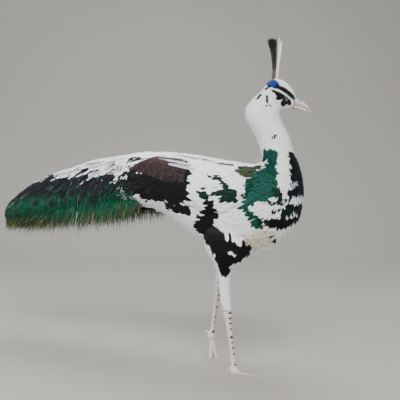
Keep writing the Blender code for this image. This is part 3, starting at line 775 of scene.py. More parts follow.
for side, hand in (("right", -1), ("left", 1)):
    share = np.linspace(1, 0, QUILLS)
    u = QUILL_ROOT[0] + share * (QUILL_ROOT[1] - QUILL_ROOT[0])
    tip = QUILL_TIP[0] + share * (QUILL_TIP[1] - QUILL_TIP[0]) + rng.normal(0, 0.05, QUILLS)
    first = np.radians(QUILL_TOP[0] + share * (QUILL_BOTTOM[0] - QUILL_TOP[0])) * hand
    last = np.radians(QUILL_TOP[1] + share * (QUILL_BOTTOM[1] - QUILL_TOP[1])) * hand
    length = (tip - u) * trunk_sheet.pace(u, first)
    low, high = -0.006 + 0.0015 * (1 - share), -0.003 + 0.004 * (1 - share)
    tints = toned(np.tile(tone("black"), (QUILLS, 1)), 0.15)
    halves = np.full(QUILLS, QUILL_HALF)
    quills = lay(
        trunk_sheet, u, first, length, halves, low, high, tints, last - first, 20, 7, 0.1, quill_shape
    )
    piece = coat_piece(f"wing_{side}_quills_fan", [quills], "dark_plumage", quill_material)
    share = np.linspace(1, 0, TERTIALS)
    u = 17.3 + share * 0.3
    first = np.radians(34 + share * 26) * hand
    slant = np.radians(6 - 2 * share) * hand
    length = (4.0 - 1.4 * (1 - share)) * trunk_sheet.pace(u, first) * 0.95
    tints = toned(np.tile(tone("brown"), (TERTIALS, 1)), 0.2)
    rows = np.arange(40) / 40
    bars = 0.45 + 1.5 * (np.sin(rows * 95)[None] + rng.normal(0, 0.3, (TERTIALS, 40)) > 0.4)
    tints = tints[:, None, None] * np.ones((1, 40, 5, 1))
    tints[..., :3] *= bars[:, :, None, None]
    halves = np.full(TERTIALS, 0.013)
    tertials = lay(
        trunk_sheet, u, first, length, halves, -0.0015, 0.004 - 0.001 * share, tints, slant, 40, 5, 0.15, quill_shape
    )
    coat_piece(f"wing_{side}_tertials", [tertials], "dark_plumage", quill_material)

# ---- scapulars ----
# Long narrow feathers from the shoulder that lie over the wing's upper edge: white ones that sweep down over
# the fan behind, and a thin black line above them along the back.
SCAPULARS = [
    # colour, slice and degrees round from the back at the root and at the tip, half width in millimetres
    ("black", (14.6, 22), (16.9, 20), 2.6),
    ("black", (16.2, 21), (18.6, 23), 2.6),
    ("lavender", (17.0, 37), (19.2, 37), 4.5),
    ("lavender", (16.8, 42), (18.5, 43), 4.0),
    ("black", (17.6, 31), (20.2, 41), 2.4),
    ("white", (17.4, 26), (20.6, 44), 3.4),
    ("white", (18.6, 27), (21.4, 56), 3.2),
    ("black", (18.9, 24), (21.5, 48), 2.4),
    ("white", (19.2, 20), (21.9, 62), 3.4),
]
for side, hand in (("right", -1), ("left", 1)):
    first = np.array([(row[1][0], math.radians(row[1][1]) * hand) for row in SCAPULARS])
    last = np.array([(row[2][0], math.radians(row[2][1]) * hand) for row in SCAPULARS])
    u, v = first.T
    length = (last[:, 0] - u) * trunk_sheet.pace(u, v)
    halves = np.array([row[3] for row in SCAPULARS]) / 1000
    tints = np.array([tone(row[0]) for row in SCAPULARS])
    order = 0.0022 + 0.0003 * np.arange(len(SCAPULARS))
    long_feathers = lay(
        trunk_sheet, u, v, length, halves, -0.001, order, tints, last[:, 1] - v, 24, 3, 0.2, quill_shape
    )
    coat_piece(f"scapulars_{side}", [long_feathers], "white_plumage", feather_material)

# ---- train ----
# Some hundred long coverts that spring from the rump and lie as a roof over the tail. White scales overlap
# along the ridge, purple-black ones show below them, and loose emerald and bronze barbs hang from the shafts.
TRAIN_SLICES = np.linspace(19.6, 28.9, 120)
HEM = math.radians(141)
TIP_LIMIT = 28.7  # the slice that no loose barb passes
TRAIN_ROUND = np.linspace(-HEM, HEM, 97)


def train_grid(slices, rounds, sunk=0.0):
    """Points of the train's roof, sunk by a distance towards its middle line."""
    middle, deep, side, half, low = slice_at(slices[:, None])
    sine, cosine = np.sin(rounds)[None, :, None], np.cos(rounds)[None, :, None]
    low, half = low[..., None], half[..., None]
    points = middle + deep * (cosine - low * sine**2) + side * half * sine
    inward = middle - points
    return points + inward / np.linalg.norm(inward, axis=-1, keepdims=True) * sunk


train_sheet = Sheet(train_grid(TRAIN_SLICES, TRAIN_ROUND), TRAIN_SLICES, TRAIN_ROUND, False)
train_material = vane_finish("train_barbs", 30.0, 0.6, 0.32, 0.7, (0.75, 1.25))

# painted shade: a dark green sheet sunk under the loose barbs stands for the shaded depth of the train between them;
# its underside is the brown-grey of the shafts
WEB_SINK = 0.007
web_slices, web_round = np.linspace(21.6, 28.1, 60), np.linspace(-HEM * 0.97, HEM * 0.97, 65)
web = train_grid(web_slices, web_round, WEB_SINK)
lining = train_grid(web_slices, web_round, WEB_SINK + 0.003)
shade_web_tint = np.tile([*linear("#1c2a1c"), 1.0], (web.size // 3, 1))
lining_tint = np.tile([*linear("#6d6354"), 1.0], (web.size // 3, 1))
count = 65
quad = np.arange(59)[:, None] * count + np.arange(64)
outer = np.stack([quad, quad + 1, quad + count + 1, quad + count], -1).reshape(-1, 4)
web_points = np.concatenate([web.reshape(-1, 3), lining.reshape(-1, 3)])
rim = np.concatenate(
    [
        np.arange(64),
        np.arange(59) * count + 64,
        59 * count + np.arange(64, 0, -1),
        np.arange(59, 0, -1) * count,
    ]
)
inner = outer[:, ::-1] + web.size // 3
following = np.roll(rim, -1)
edge = np.stack([following, rim, rim + web.size // 3, following + web.size // 3], -1)
shade_and_shaft_finish, shader = new_material("train_shade_and_shafts")
tint = add_node(shade_and_shaft_finish, "ShaderNodeAttribute", attribute_name="Tint")
grain = add_node(shade_and_shaft_finish, "ShaderNodeTexNoise", {"Scale": 160.0, "Detail": 4.0})
bump = add_node(shade_and_shaft_finish, "ShaderNodeBump", {"Strength": 0.6, "Distance": 0.001, "Height": grain.outputs["Fac"]})
join_inputs(shade_and_shaft_finish, shader, Base_Color=tint.outputs["Color"], Normal=bump.outputs["Normal"], Roughness=0.8)
web_piece = mesh_piece(
    "train_shade_and_shafts", web_points, np.concatenate([outer, inner, edge]), shade_and_shaft_finish, np.concatenate(
        [shade_web_tint, lining_tint]
    )
)
dress(web_piece, "train_plumage", "train")


def strands(sheet, u, v, length, half, fall, low, high, tints, hem, steps=6, curl=0.2):
    """Loose barbs as thin strips. fall(u, v) is the angle at which one runs down from the train's length."""
    count = len(u)
    uu, vv, drop = (np.zeros((count, steps + 1)) for _ in range(3))
    uu[:, 0], vv[:, 0] = u, v
    hand = np.where(v < 0, -1.0, 1.0)
    step = length / steps
    wave = rng.normal(0, curl, (count, 2))
    limit = TIP_LIMIT - np.abs(rng.normal(0, 0.25, count))
    for k in range(steps):
        heading = fall(uu[:, k], np.abs(vv[:, k])) + wave[:, 0] + wave[:, 1] * (k / steps - 0.5) * 2
        down = step * np.sin(heading) / sheet.girth(uu[:, k], vv[:, k])
        ahead = vv[:, k] * hand + down
        over = np.maximum(ahead - hem, 0) * sheet.girth(uu[:, k], vv[:, k])
        uu[:, k + 1] = np.minimum(uu[:, k] + step * np.cos(heading) / sheet.pace(uu[:, k], vv[:, k]), limit)
        vv[:, k + 1] = np.minimum(ahead, hem) * hand
        drop[:, k + 1] = drop[:, k] + over
    t = np.linspace(0, 1, steps + 1)
    out = sheet.out(uu, vv)
    lift = low[:, None] + (high - low)[:, None] * t
    path = sheet.point(uu, vv) + out * lift[..., None]
    path[..., 2] -= drop
    path += out * (drop * 0.08)[..., None]
    along = np.gradient(path, axis=1)
    along /= np.linalg.norm(along, axis=-1, keepdims=True) + 1e-9
    side = np.cross(out, along)
    side /= np.linalg.norm(side, axis=-1, keepdims=True) + 1e-9
    width = half[:, None] * np.clip(1.15 - t, 0.15, 1)
    points = np.stack([path - side * width[..., None], path + side * width[..., None]], 2)
    return bundle(sheet, u, v, points, np.repeat(np.repeat(tints[:, None, None], steps + 1, 1), 2, 2))


def mixed(names, shares, count):
    """Colours drawn at random from named ones."""
    tones = np.array([tone(name) for name in names])
    return tones[rng.choice(len(names), count, p=np.array(shares) / sum(shares))]


COLOURS |= {
    "emerald": ("#0a6a45", 0.8),
    "pine": ("#07382c", 0.6),
    "bronze": ("#6f6238", 0.35),
    "tan": ("#a39a78", 0.1),
    "moss": ("#4b5630", 0.35),
    "umber": ("#40302a", 0.2),
}


def fall_angle(uu, aside):
    """How steeply barbs run down: with the shafts on the ridge, straight down on the sides, less at the tip."""
    steep = np.interp(np.degrees(aside), (0, 30, 60, 140), (12, 28, 72, 86))
    return np.radians(steep * np.interp(uu, (24.2, 25.6, 27.0, 29.0), (1.0, 0.68, 0.34, 0.2)))


def white_edge(uu):
    """Degrees round from the back to the edge of the white on the ridge."""
    return np.interp(uu, (19.5, 21.5, 23.5, 24.5, 25.5, 26.5, 27.2), (60, 50, 34, 25, 13, 5, 0))


def train_tints(uu, aside):
    degrees = np.degrees(aside) + rng.normal(0, 5, len(uu))
    count = len(uu)
    upper = mixed(("purple", "black", "umber", "lavender"), (6, 3, 1.6, 0.25), count)
    middle = mixed(("emerald", "green", "pine", "moss"), (6, 3, 2.5, 0.5), count)
    shaded = mixed(("pine", "black", "emerald", "moss"), (5, 3, 1.5, 1), count)
    lower = mixed(("tan", "bronze", "moss", "umber", "pine"), (1.0, 2.2, 3.4, 2.2, 2.4), count)
    tip = mixed(("umber", "bronze", "purple", "pine"), (4, 2, 2, 2), count)
    dark_edge = np.interp(uu, (20, 24, 26, 28), (74, 70, 56, 44)) + rng.normal(0, 7, count)
    shade_edge = np.interp(uu, (20, 24.6, 25.6, 29), (150, 150, 96, 80)) + rng.normal(0, 6, count)
    tan_edge = np.interp(uu, (20, 25, 27, 29), (126, 122, 116, 104)) + rng.normal(0, 8, count)
    tints = np.where((degrees < shade_edge)[:, None], middle, shaded)
    tints = np.where((degrees < dark_edge)[:, None], upper, tints)
    tints = np.where((degrees > tan_edge)[:, None], lower, tints)
    tints = np.where((uu + rng.normal(0, 0.2, count) > 27.75)[:, None], tip, tints)
    return toned(tints, 0.2)


for side, hand in (("right", -1), ("left", 1)):
    parts = []
    # under layer of long barbs, then the finer upper one
    for spacing, length, width, high in ((0.0050, 0.070, 0.0011, 0.001), (0.0034, 0.055, 0.0006, 0.003)):
        u, v = scatter(
            train_sheet,
            lambda uu, vv: np.full(uu.shape, spacing),
            lambda uu, vv: ((uu > 21.4) & (uu < 28.8) & (vv * hand > math.radians(12))).astype(float),
        )
        lengths = varied(np.full(len(u), length), 0.25) * np.interp(u, (21, 23, 27, 29), (0.8, 1, 1, 0.6))
        lengths *= np.interp(np.degrees(np.abs(v)), (60, 100, 140), (1, 0.8, 0.55))
        halves = varied(np.full(len(u), width), 0.2)
        tops = rng.uniform(-0.004, high, len(u))
        tints = train_tints(u, np.abs(v))
        hem = np.radians(rng.uniform(112, 140, len(u)))
        parts.append(
            strands(train_sheet, u, v, lengths, halves, fall_angle, np.full(len(u), -0.005), tops, tints, hem)
        )
    coat_piece(f"train_{side}_barbs", parts, "train_plumage", train_material)

# ridge of the train: loose scale feathers, white along the top and purple-black beside
u, v = scatter(
    train_sheet,
    lambda uu, vv: np.full(uu.shape, 0.0085),
    lambda uu, vv: ((uu > 19.8) & (uu < 27.4) & (np.degrees(np.abs(vv)) < white_edge(uu) + 26)).astype(float),
)
white = np.degrees(np.abs(v)) + rng.normal(0, 4, len(u)) < white_edge(u)
tints = np.where(white[:, None], tone("white"), mixed(("purple", "black", "pine"), (5, 3, 1), len(u)))
length = varied(np.interp(u, (20, 23, 27), (0.045, 0.06, 0.07)), 0.15)
halves = varied(np.full(len(u), 0.0075), 0.15)
slant = np.sign(v) * np.interp(np.degrees(np.abs(v)), (0, 20, 60), (0.02, 0.2, 0.5)) * length / 0.06
slant += rng.normal(0, 0.05, len(u))
lows, highs = np.full(len(u), -0.005), rng.uniform(-0.001, 0.002, len(u))
ridge = lay(train_sheet, u, v, length, halves, lows, highs, toned(tints, 0.05), slant, 7, 3, 0.3)
coat_piece("train_ridge", [ridge], "train_plumage", feather_material)

# eye-spots near the ends of the long coverts
SPOTS = [(25.9, 80), (25.05, 92), (27.0, 66), (26.9, 104), (24.1, 78), (23.2, 100), (27.8, 88)]
SPOT_RINGS = ((0.34, "#02060c", 0.6), (0.50, "#06262e", 0.7), (0.72, "#1c2413", 0.4), (1.0, "#0b4a38", 0.7))
SPOT_LENGTH, SPOT_HALF, SPOT_GRID = 0.046, 0.019, 17
u = np.array([p[0] for p in SPOTS] * 2)
v = np.radians([-p[1] for p in SPOTS] + [p[1] for p in SPOTS])
u[len(SPOTS) :] += rng.normal(0, 0.15, len(SPOTS))
across = np.linspace(-1, 1, SPOT_GRID)
ring = np.hypot(*np.meshgrid(across, across, indexing="ij"))
ring_tint = np.empty((SPOT_GRID, SPOT_GRID, 4))
for reach, code, gloss in reversed(SPOT_RINGS):
    ring_tint[ring <= reach + (reach == 1) * 9] = [*linear(code), gloss]
spot_tints = np.tile(ring_tint, (len(u), 1, 1, 1))
halves, lengths = np.full(len(u), SPOT_HALF), np.full(len(u), SPOT_LENGTH)
slant = np.sign(v) * 0.2


def spot_shape(t):
    return np.sqrt(np.clip(1 - (2 * t - 1) ** 2 * 0.97, 0.02, 1))


spots = lay(
    train_sheet, u, v, lengths, halves, -0.002, 0.0004, spot_tints, slant, SPOT_GRID, SPOT_GRID, 0.1,
    spot_shape
)
coat_piece("train_eyespots", [spots], "train_plumage", train_material)

# ---- tail ----
# Twenty stiff brown quills spread flat under the train. They hold it up.
TAIL = [
    # back along the bird, height, half width in centimetres
    (10.0, 41.1, 2.2),
    (3.0, 40.9, 4.2),
    (-6.0, 40.3, 5.4),
    (-15.0, 39.6, 5.8),
    (-21.0, 39.0, 5.4),
    (-24.0, 38.7, 4.2),
]
TAIL_QUILLS = 20
tail_us, tail_vs = np.linspace(0, 1, 40), np.linspace(-1, 1, 21)
tail_rows = between(TAIL, tail_us * 5)
tail_grid = np.stack(
    np.broadcast_arrays(
        tail_rows[:, :1], tail_rows[:, 2:] * tail_vs, tail_rows[:, 1:2] + 0.35 * (1 - tail_vs**2)
    ),
    -1,
)
tail_sheet = Sheet(tail_grid * CM, tail_us, tail_vs, False)
tail_sheet.normal = np.where(tail_sheet.normal[..., 2:] > 0, 1, -1) * tail_sheet.normal
v = np.linspace(-0.86, 0.86, TAIL_QUILLS)
u = np.full(TAIL_QUILLS, 0.02)
length = tail_sheet.pace(u, v) * (0.98 - 0.1 * v**2) * 0.96
lift = 0.002 - 0.004 * np.abs(v)
tints = toned(np.tile(tone("umber"), (TAIL_QUILLS, 1)), 0.12)
bars = 0.8 + 0.35 * (np.sin(np.arange(32) * 1.9)[None] + rng.normal(0, 0.5, (TAIL_QUILLS, 32)) > 0.3)
tints = tints[:, None, None] * np.ones((1, 32, 5, 1))
tints[..., :3] *= bars[:, :, None, None]
fan = lay(
    tail_sheet, u, v, length, np.full(TAIL_QUILLS, 0.009), lift, lift, tints, 0.0, 32, 5, 0.12, quill_shape
)
tail_piece = coat_piece("tail_quills", [fan], "dark_plumage", quill_material)
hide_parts("tail")

# ---- crest ----
# A score of wiry shafts stand on the crown. Each is bare below and ends in a small fan of dark barbs. One is
# white and broader, and leans forward of the rest.
CREST_ROOT, CREST_TIP = (-2.15, 72.9), (-2.35, 83.3)  # forward and height of the bundle's middle
CREST_COUNT = 18
CREST_SPREAD = (0.42, 1.05)  # centimetres fore and aft, at the root and at the tip
CREST_BREADTH = (0.28, 0.42)
WHITE_PLUME = [(-1.15, 73.2), (-1.0, 75.4), (-0.74, 78.2), (-0.46, 80.4), (-0.2, 82.6)]
SHORT_PLUME = [(-1.35, 73.2), (-1.3, 76.0), (-1.05, 79.0), (-0.8, 81.4), (-0.72, 83.2)]
AHEAD = head_place(1, 0) - head_place(0, 0)
AHEAD /= np.linalg.norm(AHEAD)
SIDEWAYS = np.array([-AHEAD[1], AHEAD[0], 0.0])
PLUME_STEPS = 14
CROWN_SLICES = (3.2, 4.2)


def plume(path, shaft, reach, count, first, lean, tint, shaft_tint, width=0.0004):
    """A crest feather: a tapering shaft along path and barbs of reach(t) from its share first to the tip."""
    parts = []
    path = np.array(path)
    t = np.linspace(0, 1, PLUME_STEPS)
    line = between(path, t * (len(path) - 1))
    way = np.gradient(line, axis=0)
    way /= np.linalg.norm(way, axis=1, keepdims=True)
    for aside in (AHEAD, SIDEWAYS):
        half = shaft * (1 - 0.7 * t)[:, None] * aside
        strip = np.stack([line - half, line + half], 1)[None]
        parts.append((strip, np.tile(shaft_tint, (1, PLUME_STEPS, 2, 1))))
    at = np.repeat(np.linspace(first, 1, count), 2)
    hand = np.tile([-1.0, 1.0], count)
    root = between(path, at * (len(path) - 1))
    up = np.stack([np.interp(at, t, way[:, k]) for k in range(3)], -1)
    swing = rng.normal(0, 0.5, len(at))
    aside = (AHEAD * np.cos(swing)[:, None] + SIDEWAYS * np.sin(swing)[:, None]) * hand[:, None]
    angle = lean * (1 - 0.5 * at) * varied(np.ones(len(at)), 0.15)
    s = np.linspace(0, 1, 4)[None, :, None]
    out = up * np.cos(angle)[:, None] + aside * np.sin(angle)[:, None]
    barb = root[:, None] + (out[:, None] * s + up[:, None] * 0.18 * s**2) * reach(at)[:, None, None]
    flat = np.cross(out, np.cross(up, aside))
    flat /= np.linalg.norm(flat, axis=1, keepdims=True) + 1e-9
    half = flat[:, None] * width * (1.1 - s)
    parts.append((np.stack([barb - half, barb + half], 2), np.tile(tint, (len(at), 4, 2, 1))))
    return parts


def plume_piece(name, plumes, slot, node):
    """One piece of plumes. Its bake patches lie on the crown: shafts on the right of it, barbs on the left."""
    parts = []
    for k, (grid, tints) in enumerate(plumes):
        u = np.interp(grid[:, 0].mean(axis=1)[:, 2], (0.72, 0.84), CROWN_SLICES)
        v = np.linspace(0.05, 0.5, len(grid)) if len(grid) > 1 else np.array([-0.1 - 0.4 * k / len(plumes)])
        parts.append(bundle(trunk_sheet, u, v, grid, tints))
    piece = coat_piece(name, parts, slot, crest_material)
    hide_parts(node)


crest_material = vane_finish("crest_barb", 20.0, 0.6, 0.4, 0.2, (0.8, 1.2))
SHAFT_GREY = np.array([*linear("#6b5f58"), 0.1])


def dark_reach(at):
    return np.interp(at, (0.3, 0.7, 0.85, 1.0), (0.002, 0.0035, 0.006, 0.0075))


def white_reach(at):
    return np.interp(at, (0.1, 0.35, 0.7, 0.85, 1.0), (0.0028, 0.0045, 0.0095, 0.0075, 0.003))


def short_reach(at):
    return np.interp(at, (0.5, 0.8, 1.0), (0.001, 0.003, 0.004))


dark_plumes = []
for k in range(CREST_COUNT):
    ring = math.tau * k * 0.618
    far = math.sqrt((k + 0.5) / CREST_COUNT)
    lean, aside = far * math.cos(ring), far * math.sin(ring)
    path = []
    for share in (0, 0.35, 0.7, 1):
        forward = CREST_ROOT[0] + (CREST_TIP[0] - CREST_ROOT[0]) * share + 0.35 * math.sin(math.pi * share)
        spread = CREST_SPREAD[0] + (CREST_SPREAD[1] - CREST_SPREAD[0]) * share**2
        breadth = CREST_BREADTH[0] + (CREST_BREADTH[1] - CREST_BREADTH[0]) * share
        height = CREST_ROOT[1] + (CREST_TIP[1] - 0.5 - CREST_ROOT[1]) * share + 0.15 * math.cos(
            ring * 3
        ) * share
        path.append(head_place(forward + spread * lean, height, breadth * aside))
    dark_plumes += plume(path, 0.00045, dark_reach, 46, 0.28, 0.7, tone("black"), SHAFT_GREY)
plume_piece("crest_dark_plumes", dark_plumes, "dark_plumage", "crest")

white_plumes = []
for rows, reach, first, nudge in (
    (WHITE_PLUME, white_reach, 0.08, 0.0),
    (WHITE_PLUME, white_reach, 0.08, 0.16),
    (SHORT_PLUME, short_reach, 0.5, -0.1),
):
    path = [head_place(forward, height, nudge * k / 4) for k, (forward, height) in enumerate(rows)]
    white_plumes += plume(path, 0.0006, reach, 90, first, 0.55, tone("white"), tone("white"), 0.0005)
plume_piece("crest_white_plumes", white_plumes, "white_plumage", "crest_white")

# ---- bill ----
# A short stout bill of pale horn: an arched upper half with a hooked tip, the lower half set under its edges,
# and a slit nostril at its base on either side, its pit painted dark as shade. The horn is smooth, a little waxy
# and pinker at the root.
BILL_UPPER = [
    # forward, height of the ridge, height of the edge, half width (centimetres)
    (3.0, 68.9, 66.95, 1.05),
    (3.9, 68.55, 66.9, 0.95),
    (4.9, 68.0, 66.7, 0.80),
    (5.8, 67.4, 66.35, 0.60),
    (6.6, 66.6, 65.8, 0.36),
    (7.15, 65.6, 65.1, 0.13),
]
BILL_LOWER = [
    (2.8, 66.85, 65.95, 0.95),
    (3.7, 66.8, 65.85, 0.85),
    (4.6, 66.6, 65.7, 0.66),
    (5.5, 66.25, 65.5, 0.44),
    (6.2, 65.85, 65.3, 0.20),
]
BILL_ALONG, BILL_ROUND = 72, 64
NOSTRIL = (4.25, 67.95, 0.42, 0.13, 0.11)  # forward, height, half length, half height, depth
NOSTRIL_SLOPE = 0.35
HORN_PALE, HORN_ROOT, NOSTRIL_SHADE = "#e8dcd6", "#d9bfb8", "#2a1f1c"

horn, shader = new_material("bill_horn")
tint = add_node(horn, "ShaderNodeAttribute", attribute_name="Tint")
growth = add_node(horn, "ShaderNodeTexNoise", {"Scale": 240.0, "Detail": 5.0, "Roughness": 0.6})
growth_inputs = {
    "Value": growth.outputs["Fac"], "From Min": 0.25, "From Max": 0.75, "To Min": 0.9, "To Max": 1.06
}
shade = add_node(horn, "ShaderNodeMapRange", growth_inputs)
colour = scaled(horn, tint.outputs["Color"], shade.outputs[0])
bump = add_node(
    horn, "ShaderNodeBump", {"Strength": 0.2, "Distance": 0.0002, "Height": growth.outputs["Fac"]}
)
join_inputs(
    horn,
    shader,
    Base_Color=colour.outputs[0],
    Roughness=0.36,
    IOR=1.54,
    Normal=bump.outputs["Normal"],
    Subsurface_Weight=0.15,
    Subsurface_Scale=0.004,
)


def ring_faces(rings, rounds):
    """Faces between rings of points that close on themselves."""
    ring = np.arange(rounds)
    after = (ring + 1) % rounds
    first = np.arange(rings - 1)[:, None] * rounds
    return np.stack(
        [first + ring, first + ring + rounds, first + after + rounds, first + after], -1
    ).reshape(-1, 4)


def bill_half(name, rows, edge_low, node):
    along = np.linspace(0, 1, BILL_ALONG)
    forward, ridge, edge, half = (x[:, None] for x in between(rows, along * (len(rows) - 1)).T)
    rise = np.cos(np.linspace(0, math.tau, BILL_ROUND, endpoint=False)[None])
    turn = np.sin(np.linspace(0, math.tau, BILL_ROUND, endpoint=False)[None])
    toward = np.maximum(0, rise if edge_low else -rise)
    height = (ridge + edge) / 2 + (ridge - edge) / 2 * rise
    sideways = half * turn * (1 - 0.35 * toward)
    ahead = forward - NOSTRIL[0]
    reach = np.hypot(ahead / NOSTRIL[2], (height - NOSTRIL[1] + ahead * NOSTRIL_SLOPE) / NOSTRIL[3])
    pit = np.clip(1.4 - reach, 0, 1) * edge_low
    sideways = sideways - np.sign(sideways) * pit * NOSTRIL[4]
    points = head_place(forward + 0 * height, height, sideways).reshape(-1, 3)
    share = (along[:, None] + 0 * rise)[..., None]
    pale, root, dark = (np.array(linear(code)) for code in (HORN_PALE, HORN_ROOT, NOSTRIL_SHADE))
    colour = root + (pale - root) * np.clip(share * 2.5, 0, 1)
    # painted shade: the nostril's pit is coloured towards dark brown
    colour = colour * (1 - 0.12 * share) + (dark - colour) * np.clip(pit * 1.5, 0, 1)[..., None]
    tints = np.concatenate([colour, np.ones_like(colour[..., :1])], -1).reshape(-1, 4)
    caps = []
    for start in (0, (BILL_ALONG - 1) * BILL_ROUND):
        for k in range(BILL_ROUND // 2 - 1):
            caps.append((start + k, start + k + 1, start + BILL_ROUND - 2 - k, start + BILL_ROUND - 1 - k))
    faces = np.concatenate([ring_faces(BILL_ALONG, BILL_ROUND)[:, ::-1], np.array(caps)])
    piece = mesh_piece(name, points, faces, horn, tints)
    dress(piece, "horn", node)


bill_half("bill_upper_horn", BILL_UPPER, True, "bill_upper")
bill_half("bill_lower_horn", BILL_LOWER, False, "bill_lower")

# ---- eyes and lids ----
# Dark brown eyes with a wet cornea, held by two thin bare lids that leave an opening longer than it is high.
PUPIL, IRIS = math.radians(24), math.radians(52)  # angles from the eye's axis
EYE_COLOURS = (("#050505", PUPIL), ("#3a2014", IRIS), ("#120c0a", math.pi))
LID_PALE, LID_EDGE = "#c9c2c0", "#8b8583"
LID_OPEN, LID_ROOT = (58, 9), 104  # degrees from the axis: edge of the opening and how much it varies
LID_PROFILE = (
    (0, 0.96), (0, 1.05), (0.05, 1.10), (0.15, 1.12), (0.35, 1.10), (0.6, 1.05), (0.85, 0.99), (1, 0.9)
)
CORNEA_RISE = 1.06
GLOBE_RINGS, GLOBE_ROUND, LID_ROUND = 40, 48, 64


def dome(axis, rounds, rings):
    """Unit directions about an axis, at angles from it given for each ring and each point round it."""
    across = np.cross(axis, (0, 0, 1.0))
    across /= np.linalg.norm(across)
    upward = np.cross(across, axis)
    turn = np.linspace(0, math.tau, rounds, endpoint=False)
    flat = across * np.cos(turn)[:, None] + upward * np.sin(turn)[:, None]
    return axis * np.cos(rings)[..., None] + flat * np.sin(rings)[..., None]


eye_wet, shader = new_material("wet_eye")
tint = add_node(eye_wet, "ShaderNodeAttribute", attribute_name="Tint")
fibres = add_node(eye_wet, "ShaderNodeTexNoise", {"Scale": 900.0, "Detail": 3.0})
fibre_inputs = {
    "Value": fibres.outputs["Fac"], "From Min": 0.3, "From Max": 0.7, "To Min": 0.7, "To Max": 1.5
}
fibre_light = add_node(eye_wet, "ShaderNodeMapRange", fibre_inputs)
colour = scaled(eye_wet, tint.outputs["Color"], fibre_light.outputs[0])
join_inputs(
    eye_wet, shader, Base_Color=colour.outputs[0], Roughness=0.08, Coat_Weight=1.0, Coat_Roughness=0.02
)
lid_skin, shader = new_material("bare_lid_skin")
tint = add_node(lid_skin, "ShaderNodeAttribute", attribute_name="Tint")
pores = add_node(lid_skin, "ShaderNodeTexVoronoi", {"Scale": 1400.0})
bump = add_node(
    lid_skin, "ShaderNodeBump", {"Strength": 0.35, "Distance": 0.0002, "Height": pores.outputs["Distance"]}
)
join_inputs(lid_skin, shader, Base_Color=tint.outputs["Color"], Roughness=0.5, Normal=bump.outputs["Normal"])

for side, hand in (("right", -1), ("left", 1)):
    middle = head_place(EYE_AT[0], EYE_AT[1], hand * EYE_AT[2])
    axis = SIDEWAYS * hand + AHEAD * 0.22 + np.array([0, 0, 0.04])
    axis /= np.linalg.norm(axis)
    rings = np.linspace(0.02, math.pi - 0.02, GLOBE_RINGS)[:, None] * np.ones(GLOBE_ROUND)
    swell = 1 + (CORNEA_RISE - 1) * np.clip(1 - rings / IRIS, 0, 1) ** 0.7
    points = middle + dome(axis, GLOBE_ROUND, rings) * (EYE_RADIUS * 0.97 * swell)[..., None]
    tints = np.ones((GLOBE_RINGS, GLOBE_ROUND, 4))
    for code, angle in reversed(EYE_COLOURS):
        tints[rings <= angle, :3] = linear(code)
    faces = ring_faces(GLOBE_RINGS, GLOBE_ROUND)
    globe = mesh_piece(f"eye_{side}_globe", points.reshape(-1, 3), faces, eye_wet, tints.reshape(-1, 4))
    dress(globe, "eye", f"eye_{side}")
    turn = np.linspace(0, math.tau, LID_ROUND, endpoint=False)
    edge = np.radians(LID_OPEN[0] + LID_OPEN[1] * np.cos(2 * turn))
    steps, heights = (np.array(column)[:, None] for column in zip(*LID_PROFILE))
    rings = edge + (np.radians(LID_ROOT) - edge) * steps
    points = middle + dome(axis, LID_ROUND, rings) * (EYE_RADIUS * (heights + 0 * turn))[..., None]
    colour = np.where((steps > 0.1)[..., None], linear(LID_PALE), linear(LID_EDGE)) + np.zeros(
        (1, LID_ROUND, 1)
    )
    tints = np.concatenate([colour, np.ones_like(colour[..., :1])], -1)
    faces = ring_faces(len(LID_PROFILE), LID_ROUND)
    lids = mesh_piece(f"eye_{side}_lids", points.reshape(-1, 3), faces, lid_skin, tints.reshape(-1, 4))
    dress(lids, "leg_skin")

# ---- legs and feet ----
# Bare shanks and toes in pale pinkish skin, with broad horny plates down the front and along the toes, small
# round scales behind, and dark patches on the near edges.
LEG_VOXEL = 0.0011
SOLE = {"right": (33.37, -5.0, 1.0), "left": (21.17, 5.2, 6.3)}
SHANK_PLATE, TOE_PLATE, PLATE_RISE = 0.62, 0.42, 0.00035  # pitch of the plates in cm, and how proud they are
LEG_COLOUR, GROOVE_COLOUR, DARK_PATCH_COLOUR = "#eadfd8", "#b9a59c", "#33241f"
# Dark patches on the shank's front: share of the way down it, and half height in centimetres.
DARK_PATCHES = [
    (0.03, 0.35), (0.12, 0.3), (0.21, 0.34), (0.3, 0.24), (0.44, 0.3), (0.53, 0.2), (0.62, 0.36),
    (0.72, 0.3), (0.9, 0.4)
]
TOES = ("inner", "middle", "outer", "hind")
FLOOR_CLEAR = 0.0002

leg_skin, shader = new_material("scaled_leg_skin")
tint = add_node(leg_skin, "ShaderNodeAttribute", attribute_name="Tint")
scales = add_node(leg_skin, "ShaderNodeTexVoronoi", {"Scale": 620.0}, feature="DISTANCE_TO_EDGE")
cell_inputs = {
    "Value": scales.outputs["Distance"], "From Min": 0.0, "From Max": 0.25, "To Min": 0.88, "To Max": 1.04
}
cells = add_node(leg_skin, "ShaderNodeMapRange", cell_inputs)
mottle = add_node(leg_skin, "ShaderNodeTexNoise", {"Scale": 130.0, "Detail": 4.0})
mottle_inputs = {
    "Value": mottle.outputs["Fac"], "From Min": 0.3, "From Max": 0.7, "To Min": 0.9, "To Max": 1.06
}
mottling = add_node(leg_skin, "ShaderNodeMapRange", mottle_inputs)
both = add_node(
    leg_skin, "ShaderNodeMath", {0: cells.outputs[0], 1: mottling.outputs[0]}, operation="MULTIPLY"
)
colour = scaled(leg_skin, tint.outputs["Color"], both.outputs[0])
bump = add_node(leg_skin, "ShaderNodeBump", {"Strength": 0.5, "Distance": 0.0003, "Height": cells.outputs[0]})
join_inputs(
    leg_skin, shader, Base_Color=colour.outputs[0], Roughness=0.46, IOR=1.5, Normal=bump.outputs["Normal"]
)

